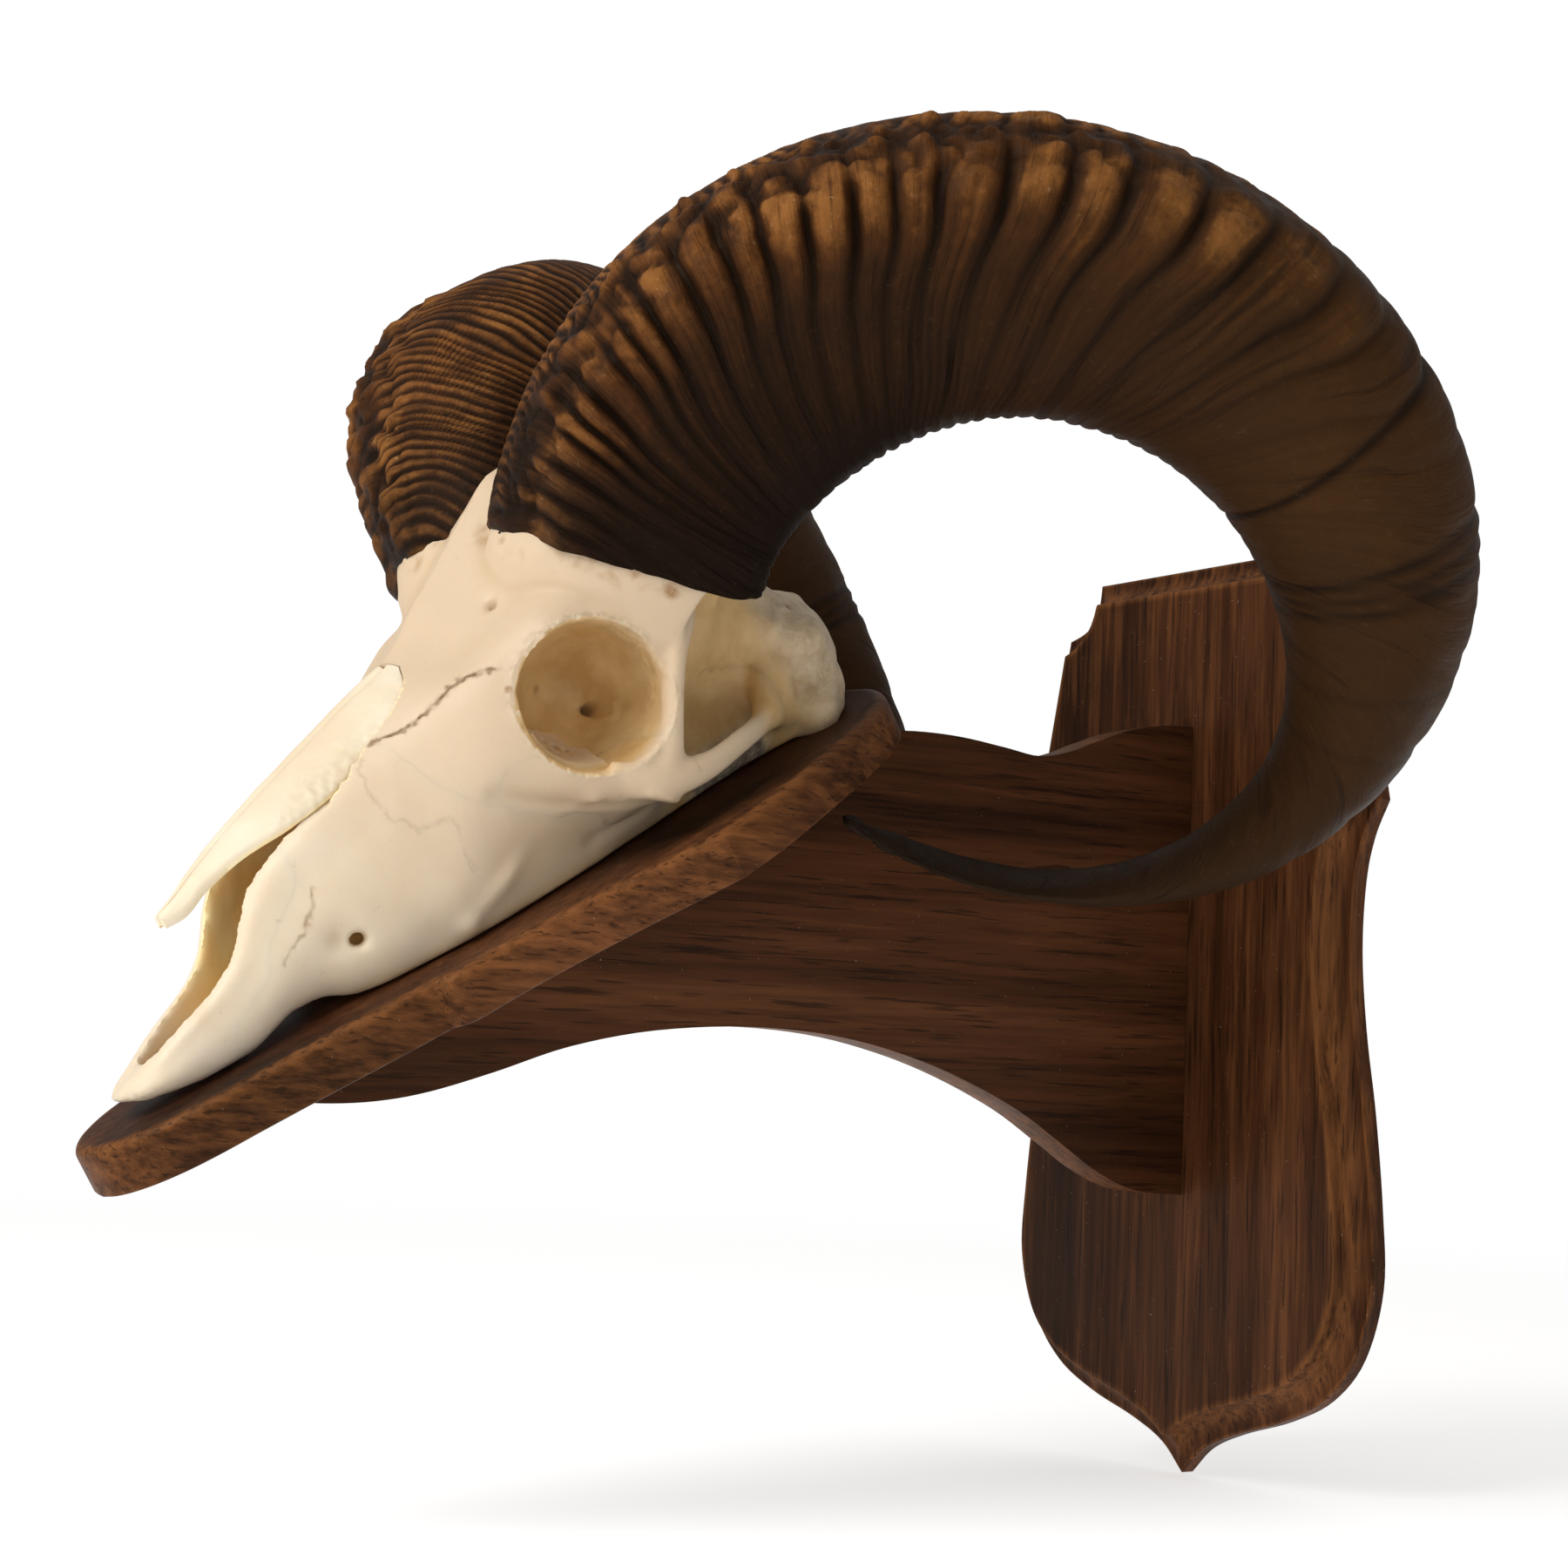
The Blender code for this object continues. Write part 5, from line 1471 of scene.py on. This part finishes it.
# %% Measuring on the bone


def along_line(points, line):
    """Distance of each point to a bent line."""
    best = np.full(len(points), 1e9)
    for a, b in zip(line, line[1:]):
        a, b = np.array(a, float), np.array(b, float)
        s = np.clip(((points - a) @ (b - a)) / ((b - a) @ (b - a)), 0, 1)
        best = np.minimum(best, np.linalg.norm(points - a - s[:, None] * (b - a), axis=1))
    return best


def normals_of(piece):
    """The way straight out of the piece at each of its points."""
    values = np.empty(len(piece.data.vertices) * 3, np.float32)
    piece.data.vertex_normals.foreach_get("vector", values)
    return values.reshape(-1, 3).astype(float)


def folded(points):
    """The same points, all on the left side, so that one list serves both."""
    return np.column_stack([np.abs(points[:, 0]), points[:, 1:]])


def near(points, centre, radius):
    """1 at a point, falling smoothly to 0 at the radius; the same on both sides."""
    return fall(np.linalg.norm(folded(points) - centre, axis=1), radius * 0.35, radius)


def depth_inside(points, outline):
    """How far inside a side-view outline each point lies, in mm; negative outside."""
    flat, loop = points[:, 1:], outline + outline[:1]
    inside = np.zeros(len(points), bool)
    for (ya, za), (yb, zb) in zip(loop, loop[1:]):
        if za == zb:
            continue
        crosses = (za > flat[:, 1]) != (zb > flat[:, 1])
        inside ^= crosses & (flat[:, 0] < ya + (flat[:, 1] - za) / (zb - za) * (yb - ya))
    return np.where(inside, 1, -1) * along_line(flat, loop)


# %% Where sutures, rims and rough bone lie


def on_skin(line):
    """A drawn line's points, brought onto the nearest point of the skull."""
    spots = [tuple(skin_points[nearest_skin(p * MM)]) for p in bowed(line, 6)]
    return [p for p, q in zip(spots, spots[1:]) if p != q] + spots[-1:]


def suture_marks(points, wide):
    """1 in the middle of a strong suture, less in a faint one, 0 a little way off."""
    shake = np.column_stack([uneven(points, 1.5, k) for k in (31, 32, 33)])
    sway = np.column_stack([uneven(points, 6, k) for k in (34, 35, 36)])
    jagged = folded(points) + 0.75 * shake + 0.8 * sway
    return np.maximum.reduce([strength * np.exp(-(along_line(jagged, line) / wide) ** 2)
                              for line, strength in zip(suture_lines, SUTURE_STRENGTH)])


def off_axis(points, place):
    """Distance of each point from a place (y, z), seen from the side."""
    return np.hypot(points[:, 1] - place[0], points[:, 2] - place[1])


def eye_ring(points):
    """1.0 on the eye socket's rim, less inside and more outside."""
    return off_axis(points, ORBIT_CENTRE[1:]) / ORBIT_RADII[1]


def on_shelf(points):
    """The thin holed shelf of bone low in the front of the eye socket: 1 on it."""
    deep = depth_inside(points, EYE_SHELF) + 0.7 * uneven(points, 2.2, 41)
    shelf = ease(deep, -0.3, 0.3) * fall(np.abs(points[:, 0]), 43, 46)
    for y, z, radius in SHELF_HOLES:
        shelf = shelf * ease(off_axis(points, (y, z)), radius - 0.3, radius + 0.2)
    return shelf * (np.abs(points[:, 0]) > 18)


def rough_zones(at):
    """How rough the bone is at each point, from 0 for polished to 1 for broken."""
    x, y, z = np.abs(at[:, 0]), at[:, 1], at[:, 2]
    occiput = 0.42 * ease(y, 124, 140)
    under_arch = fall(z, 9, 15) * ease(y, 84, 94) * fall(y, 116, 123) * fall(x, 36, 42)
    rim = np.exp(-((eye_ring(at) - 1.05) / 0.06) ** 2) * ease(x, 40, 48)
    eye_rim = 0.45 * rim * (0.35 + 0.65 * ease(z, 46, 56))
    muzzle_tip = 0.6 * fall(y, -88, -78) * fall(z, 5, 9)
    return np.maximum.reduce([occiput, under_arch, eye_rim, muzzle_tip])


# %% Making the marked faces finer


def finer(piece, chosen):
    """Cuts each side of the chosen faces in three."""
    alone(piece)
    with editing("DESELECT"):
        bpy.ops.mesh.select_mode(type="FACE")
    piece.data.polygons.foreach_set("select", chosen)
    with editing(None):
        bpy.ops.mesh.subdivide(number_cuts=2)


skin_points = points_of(skull) / MM
nearest_skin = finder(skin_points * MM)
suture_lines = [on_skin(line) for line in SUTURES]
middle = np.empty(len(skull.data.polygons) * 3, np.float32)
skull.data.polygons.foreach_get("center", middle)
middle = middle.reshape(-1, 3).astype(float) / MM
fold = folded(middle)
detail = np.minimum.reduce([along_line(fold, line) for line in suture_lines]) < 1.6
detail |= (np.abs(eye_ring(middle) - 1.03) < 0.085) & (fold[:, 0] > 41)
detail |= (depth_inside(middle, EYE_SHELF) > -1.5) & (fold[:, 0] < 46) & (fold[:, 0] > 18)
finer(skull, detail)
print(detail.sum(), "faces made finer, now", len(skull.data.polygons))

# %% Heights on the bone
horn_mouth = [tuple((to_board @ (p * MM)) / MM) for p in horn_ring(-1.5, -2.0)]
horn_mouth.append(horn_mouth[0])
at, out = points_of(skull) / MM, normals_of(skull)
both = folded(at)
height = np.zeros(len(at))
for centre, radius, rise in KNOBS:
    gap = np.linalg.norm(both - centre, axis=1)
    height += rise * np.exp(-(gap / radius * 1.5) ** 2)
for line, wide, rise in CRESTS:
    height += rise * np.exp(-(along_line(both, line) / wide) ** 2)
rough = rough_zones(at)
height += rough * (0.9 * uneven(at, 8, 5) + 0.55 * uneven(at, 3.6, 6))
height += 1.0 * ease(at[:, 1], 120, 136) * uneven(at, 11, 9)
height += 0.20 * uneven(at, 15, 7) + 0.06 * uneven(at, 4, 8)
height -= 0.4 * suture_marks(at, 0.35)
ring = eye_ring(at)
beads = np.exp(-((ring - 1.035) / 0.022) ** 2) * ease(both[:, 0], 42, 47)
height += 0.22 * beads * uneven(at, 1.3, 12) + 0.2 * beads
height += 1.5 * on_shelf(at)
optic = off_axis(at, FORAMINA[2][0][1:])
height += 0.8 * np.exp(-((optic - 3.0) / 0.8) ** 2) * (both[:, 0] < 32)
height += 0.35 * np.exp(-(along_line(both, horn_mouth) / 5) ** 2) * uneven(at, 3, 14)
keep_flat = ease(at[:, 2], 0.5, 2.5)
place_points(skull, (at + out * (height * keep_flat)[:, None]) * MM)
print("relief from", round(height.min(), 2), "to", round(height.max(), 2), "mm")

# %% Fitting the nasal bones and horns into it


def wavy(line, reach, wave, seed, steps=6):
    """A seam line made wavy, as grown bone seams are, and still straight at its ends."""
    smooth_line = bowed([(*p, 0) for p in line], steps)
    draw = np.random.default_rng(seed)
    out_line = []
    for i, p in enumerate(smooth_line):
        a = smooth_line[max(i - 1, 0)]
        b = smooth_line[min(i + 1, len(smooth_line) - 1)]
        away = Vector((-(b - a).y, (b - a).x)).normalized()
        inside = 0 if i in (0, len(smooth_line) - 1) else 1
        shift = inside * reach * (sin(i * wave) * 0.6 + draw.uniform(-0.6, 0.6))
        out_line.append((p.x + away.x * shift, p.y + away.y * shift))
    return out_line


def nasal_bed(side):
    """The space a nasal bone fills, a little wider and ragged along the open slit."""
    rings = []
    places = [row[0] for row in NASAL_SECTIONS] + list(np.arange(-75, 34, 0.7))
    for y in sorted(places + [NASION + GAP]):
        ragged = ease(y, -36, -26) * fall(y, 6, 12)
        tooth = float(uneven(np.array([[y * 1.0, side * 3.0, 0.0]]), 1.7, 15)[0])
        open_by = 2.6 * float(ease(y, -42, -30) * fall(y, -14, 4))
        rings.append(nasal_section(y, side, above=14, below=GAP, inner=-0.1,
                                   wide=0.4 + open_by + ragged * (0.6 + 0.75 * tooth)))
    return rolled(rings, "nasal_bed")


for side in (1, -1):
    cut(skull, nasal_bed(side))
print("nasal beds cut,", len(skull.data.polygons), "faces")

# %% [markdown]
# The nasal bones are two long thin leaves that arch side by side over the nose, free
# at the front and let into the skull behind. Each is a strip of sections, creased
# along the midline and a little uneven at its outer edge. The bed that was cut for it
# is wider than the bone along the open slit, and ragged further back.

# %% Nasal bones


def make_nasal(side, name):
    """One nasal bone, smoothed, with its crease and its edge added as heights."""
    rings = [nasal_section(float(y), side, points=30)
             for y in np.linspace(NASAL_SECTIONS[0][0], NASAL_SECTIONS[-1][0], 170)]
    bone = rolled(rings, name)
    apply(bone, "SMOOTH", factor=0.5, iterations=4)
    here = points_of(bone) / MM
    way = normals_of(bone)
    crease = along_line(folded(here), [(0, y, z + 0.5) for y, z, _, _ in NASAL_SECTIONS])
    rise = -0.7 * np.exp(-(crease / 1.6) ** 2) + 0.12 * uneven(here, 7, 21)
    side_edge = ease(np.abs(way[:, 0]), 0.5, 0.9) * ease(np.abs(here[:, 0]), 9, 13)
    rise += side_edge * ease(here[:, 1], -30, -16) * 0.45 * uneven(here, 1.5, 22)
    rise *= ease(here[:, 1], -57, -49)
    place_points(bone, (here + way * rise[:, None]) * MM)
    return bone


nasals = [make_nasal(side, "nasal_" + word) for side, word in ((1, "left"), (-1, "right"))]
print("nasals", [len(n.data.polygons) for n in nasals])

# %% [markdown]
# The face is parted where the bones really meet. In side view each seam is a line, so
# a wall drawn from that line and pushed through the head separates the bones. The
# premaxilla carries the muzzle's tip, the maxilla the cheek, the malar the rim under
# the eye, and the rest stays with the braincase.

# %% Parting the bones
SEAM = 0.004                 # mm: half the gap left at a seam
INCISIVE_SUTURE = ((-60, -4), (-58, 8), (-51, 13), (-44, 17), (-39, 25), (-32, 31),
                   (-26, 38), (-22, 62))
FACE_SUTURE = ((58, -4), (56, 8), (52, 14.5), (36, 22), (26, 30), (17, 40), (14, 50),
               (11, 62))
MALAR_OUTLINE = ((37, 22), (52, 14.9), (57, 9), (80, 6), (104, 8), (106, 22), (90, 22),
                 (80, 27), (70, 27.5), (52, 28), (41, 37), (31, 38), (27, 30.6))


def shifted(line, by):
    """A side-view line moved back by some mm."""
    return [(y + by, z) for y, z in line]


incisive = wavy(INCISIVE_SUTURE, 0.35, 1.9, 3)
face = wavy(FACE_SUTURE, 0.55, 2.1, 4)
malar_edge = wavy(MALAR_OUTLINE + MALAR_OUTLINE[:1], 0.45, 2.3, 5)[:-1]


def bone_from(outline, low, high, name):
    """The part of the skull inside a side-view outline, from x = low to x = high."""
    bone = copied(skull, name)
    cut(bone, prism(outline, low, high), "INTERSECT")
    return bone


MALAR_INNER, FACE_OUTER = 36, 72        # mm from the midline
MUZZLE_FRONT = [(-100, 72), (-100, -5)]
HEAD_REAR = [(11.3, 135), (185, 135), (185, -5)]
bones = {}
for side, word in ((1, "left"), (-1, "right")):
    span = sorted((side * SEAM, side * FACE_OUTER))
    front = MUZZLE_FRONT + shifted(incisive, -SEAM)
    bones["premaxilla_" + word] = bone_from(front, *span, "premaxilla")
    cheek = shifted(incisive, SEAM)[::-1] + shifted(face, -SEAM)
    bones["maxilla_" + word] = bone_from(cheek, *span, "maxilla")
    span = sorted((side * MALAR_INNER, side * FACE_OUTER))
    bones["malar_" + word] = bone_from(malar_edge, *span, "malar")
bones["cranium"] = bone_from(shifted(face, SEAM) + HEAD_REAR, -90, 90, "cranium")


def grown(outline, by):
    """The outline moved outwards, square to each edge."""
    points, bigger = [Vector(p) for p in outline], []
    for i, p in enumerate(points):
        inwards, share = corner_of(points, i, 0.5)
        bigger.append(tuple(p - inwards * by / share))
    return bigger


for side in (1, -1):
    span = sorted((side * (MALAR_INNER - GAP), side * 75))
    cut(bones["cranium"], prism(grown(malar_edge, 2 * SEAM), *span))
for name, bone in bones.items():
    print(name, len(bone.data.polygons), "faces")

# %% [markdown]
# Bleached bone is never one colour. Where it is thin it keeps a tan or ochre tone,
# rough and broken places are greyer with dirt in the pits, and the polished parts are
# cream with a faint pink and yellow drift. Recesses get painted shade, a dark tan; the
# inside of the nose gets a painted glow, as if light shone through thin bone; and the
# bone grows yellower and darker towards the back, part age and part painted shade. So
# each point gets seven painted values: how deep it lies and how rough it is, how aged
# and shaded, ochre, glowing or stained, and how near a suture it is.

# %% Stains and hollows
STAINS = (((63.4, 89.6, 61.6), 3.4), ((57, 76, 76.5), 2.8), ((62.5, 84.5, 69.5), 2.6),
          ((36.4, 134, 15), 2.2), ((33.5, 137, 31), 2.0), ((29, 145, 34.5), 1.8),
          ((17.6, 64.7, 48.1), 1.8), ((44.2, 41.9, 56.6), 1.6))
bones["nasal_left"], bones["nasal_right"] = nasals


def sunken(piece, rounds=24):
    """How far each point lies below its wider surroundings, in mm, from smoothing."""
    mesh = piece.data
    edges = np.empty(len(mesh.edges) * 2, int)
    mesh.edges.foreach_get("vertices", edges)
    a, b = edges.reshape(-1, 2).T
    start = points_of(piece) / MM
    spot = start.copy()
    links = np.maximum(np.bincount(np.r_[a, b], minlength=len(start)), 1)[:, None]
    for _ in range(rounds):
        total = np.column_stack([np.bincount(a, spot[b, k], len(start))
                                 + np.bincount(b, spot[a, k], len(start)) for k in range(3)])
        spot = 0.3 * spot + 0.7 * total / links
    return ((spot - start) * normals_of(piece)).sum(axis=1)


# %% Where on a bone


class Place:
    """Where each point of a bone lies, in mm, and which way it faces."""

    def __init__(self, piece):
        self.spot, self.facing = points_of(piece) / MM, normals_of(piece)
        self.x, self.y, self.z = np.abs(self.spot[:, 0]), self.spot[:, 1], self.spot[:, 2]
        self.inward = -self.facing[:, 0] * np.sign(self.spot[:, 0])   # 1 facing the midline

    def orbit(self):
        """The eye socket's wall, without its shelf: what faces the socket's mouth."""
        mouth = np.column_stack([np.sign(self.spot[:, 0]) * 58, 0 * self.y + 61, 0 * self.y + 45])
        way = mouth - self.spot
        toward = (way * self.facing).sum(axis=1) / np.linalg.norm(way, axis=1)
        wall = ease(toward, 0.05, 0.4) * fall(eye_ring(self.spot), 1.02, 1.2) * fall(self.x, 50, 58)
        return wall * (1 - 0.8 * on_shelf(self.spot))

    def nose(self):
        """The inside of the nose: its walls, its roof and its floor."""
        x, z, up = self.x, self.z, self.facing[:, 2]
        walls = ease(self.inward, 0.05, 0.45) * fall(x, 25, 28) * ease(z, 3, 6) * ease(x, 1.5, 3.5)
        roof = ease(-up, 0.1, 0.6) * ease(z, 34, 40) * fall(x, 18, 21)
        ground = ease(up, 0.2, 0.7) * fall(x, 9, 12) * fall(z, 9, 13)
        return np.maximum.reduce([walls, roof, ground])

    def temple(self):
        """The hollow behind the eye."""
        x, y, z = self.x, self.y, self.z
        return ease(y, 74, 84) * fall(y, 124, 142) * fall(x, 46, 53) * fall(z, 50, 68)


# %% Painting the bones


def paint_bone(piece):
    """Paints the seven values that the bone finish reads."""
    here = Place(piece)
    spot, y = here.spot, here.y
    nasal = piece.name.startswith("nasal")
    low = fall(here.z, 1.5, 5) * ease(y, -40, -20)
    crusty = ease(uneven(spot, 2.6, 16) + 0.5 * uneven(spot, 7, 17), 0.1, 0.8)
    crust = 0.75 * crusty * fall(along_line(folded(spot), horn_mouth), 2.5, 7.5)
    stain = sum(near(spot, centre, radius) for centre, radius in STAINS)
    broken = 0.5 + 0.5 * ease(uneven(spot, 5, 18), -0.5, 0.3)
    paint(piece, "rough", rough_zones(spot))
    # The deep value gives recesses painted shade, as a dark tan.
    paint(piece, "deep", 0.5 + sunken(piece) / 2.4)
    # Yellower and darker towards the back: part ageing, part painted shade; the nasals get none.
    paint(piece, "aged_and_shaded", 0 * y if nasal else 0.2 + 0.8 * ease(y, -30, 40))
    # Painted glow: the inside of the nose is made bright, as if light shone through thin bone.
    paint(piece, "glow_through_bone", here.nose() * fall(y, 26, 34) * ease(y, -72, -40))
    paint(piece, "ochre", np.maximum.reduce([here.orbit(), here.temple(), 0.5 * low,
                                             0.3 * ease(y, 118, 132)]))
    paint(piece, "stain", stain + crust)
    paint(piece, "suture", suture_marks(spot, 0.7) * broken)


for name, bone in bones.items():
    bones[name] = bone = whole(bone)
    paint_bone(bone)
print("painted", len(bones), "bones")

# %% Bone finish
CREAM = ((0.74, 0.605, 0.43), (0.79, 0.67, 0.505), (0.815, 0.71, 0.57))
WARM_BONE, AGED_AND_SHADED_BONE, RECESS_SHADE_BONE = (0.76, 0.60, 0.42), (0.60, 0.455, 0.305), (0.45, 0.31, 0.165)
# The glow tone paints light shining through thin bone inside the nose.
OCHRE, GLOW_THROUGH_BONE_TONE = ((0.52, 0.32, 0.12), (0.68, 0.47, 0.225)), ((0.92, 0.64, 0.25), (0.96, 0.82, 0.50))
DIRTY = ((0.26, 0.20, 0.13), (0.56, 0.47, 0.34), (0.74, 0.64, 0.49))
PLASTER = ((0.14, 0.105, 0.072), (0.42, 0.35, 0.26))
SPECKLE, RUST, SUTURE_TONE = (0.35, 0.26, 0.15), (0.27, 0.125, 0.032), (0.21, 0.12, 0.05)
bony = Recipe("bleached_bone", 0.5)
cloud = bony.noise(bony.place, 26, 4, 0.55, 0.2)
drift = bony.noise(bony.place, 70, 4, 0.6, 0.3)
grit = bony.noise(bony.place, 620, 3, 0.65)
pores = bony.cells(bony.place, 800)
crumbs = bony.noise(bony.place, 260, 4, 0.65, 0.3)
rough, deep = bony.attribute("rough"), bony.attribute("deep")
ochre, stain = bony.attribute("ochre"), bony.attribute("stain")
suture, aged_and_shaded, glow_through_bone = (bony.attribute(name) for name in ("suture", "aged_and_shaded", "glow_through_bone"))
colour = bony.ramp(cloud, (0.34, CREAM[0]), (0.5, CREAM[1]), (0.68, CREAM[2]))
colour = bony.blend(bony.ramp(drift, (0.55, 0.0), (0.8, 0.45)), colour, WARM_BONE)
# Part ageing and part painted shade, rising towards the back.
colour = bony.blend(bony.times(aged_and_shaded, 0.95), colour, AGED_AND_SHADED_BONE)
# Painted shade: recesses darkened to a dark tan.
hollow = bony.ramp(deep, (0.50, 0.0), (0.85, 1.0))
colour = bony.blend(bony.times(hollow, 0.55), colour, RECESS_SHADE_BONE)
colour = bony.blend(ochre, colour, bony.ramp(drift, (0.35, OCHRE[0]), (0.65, OCHRE[1])))
# Painted glow of light through thin bone, inside the nose.
colour = bony.blend(glow_through_bone, colour, bony.ramp(drift, (0.3, GLOW_THROUGH_BONE_TONE[0]), (0.7, GLOW_THROUGH_BONE_TONE[1])))
dirty = bony.ramp(crumbs, (0.36, DIRTY[0]), (0.52, DIRTY[1]), (0.70, DIRTY[2]))
colour = bony.blend(bony.times(rough, 0.8), colour, dirty)
plaster = bony.ramp(crumbs, (0.3, PLASTER[0]), (0.7, PLASTER[1]))
colour = bony.blend(bony.ramp(rough, (0.62, 0.0), (0.9, 1.0)), colour, plaster)
speckle = bony.times(bony.ramp(crumbs, (0.25, 1.0), (0.34, 0.0)), 0.3)
colour = bony.blend(speckle, colour, SPECKLE)
rusty = bony.times(stain, bony.ramp(crumbs, (0.35, 1.0), (0.6, 0.35)))
colour = bony.blend(rusty, colour, RUST)
colour = bony.blend(bony.times(suture, 0.85), colour, SUTURE_TONE)
shine = bony.ramp(drift, (0.3, 0.42), (0.7, 0.56))
bumps = bony.emboss(drift, 0.0006, strength=0.25)
bumps = bony.emboss(grit, 0.00012, bumps, 0.35)
crumbled = bony.times(rough, bony.plus(crumbs, bony.times(pores, 0.4)))
bumps = bony.emboss(crumbled, 0.0014, bumps, 0.7)
bony.shader.inputs["Specular IOR Level"].default_value = 0.35
bony.shader.inputs["Subsurface Weight"].default_value = 0.15
bony.shader.inputs["Subsurface Radius"].default_value = (0.007, 0.0035, 0.0014)
bony.shader.inputs["Subsurface Scale"].default_value = 1.0
bone_finish = bony.finish(colour, shine, bumps)

# %% Placing the bones
for name, bone in bones.items():
    coat(bone, bone_finish)
    smooth_below(tipped(bone), 50)
    settle(bone, name + "_dressed", "bone", name)
bpy.data.objects.remove(skull, do_unlink=True)
print("bones placed")
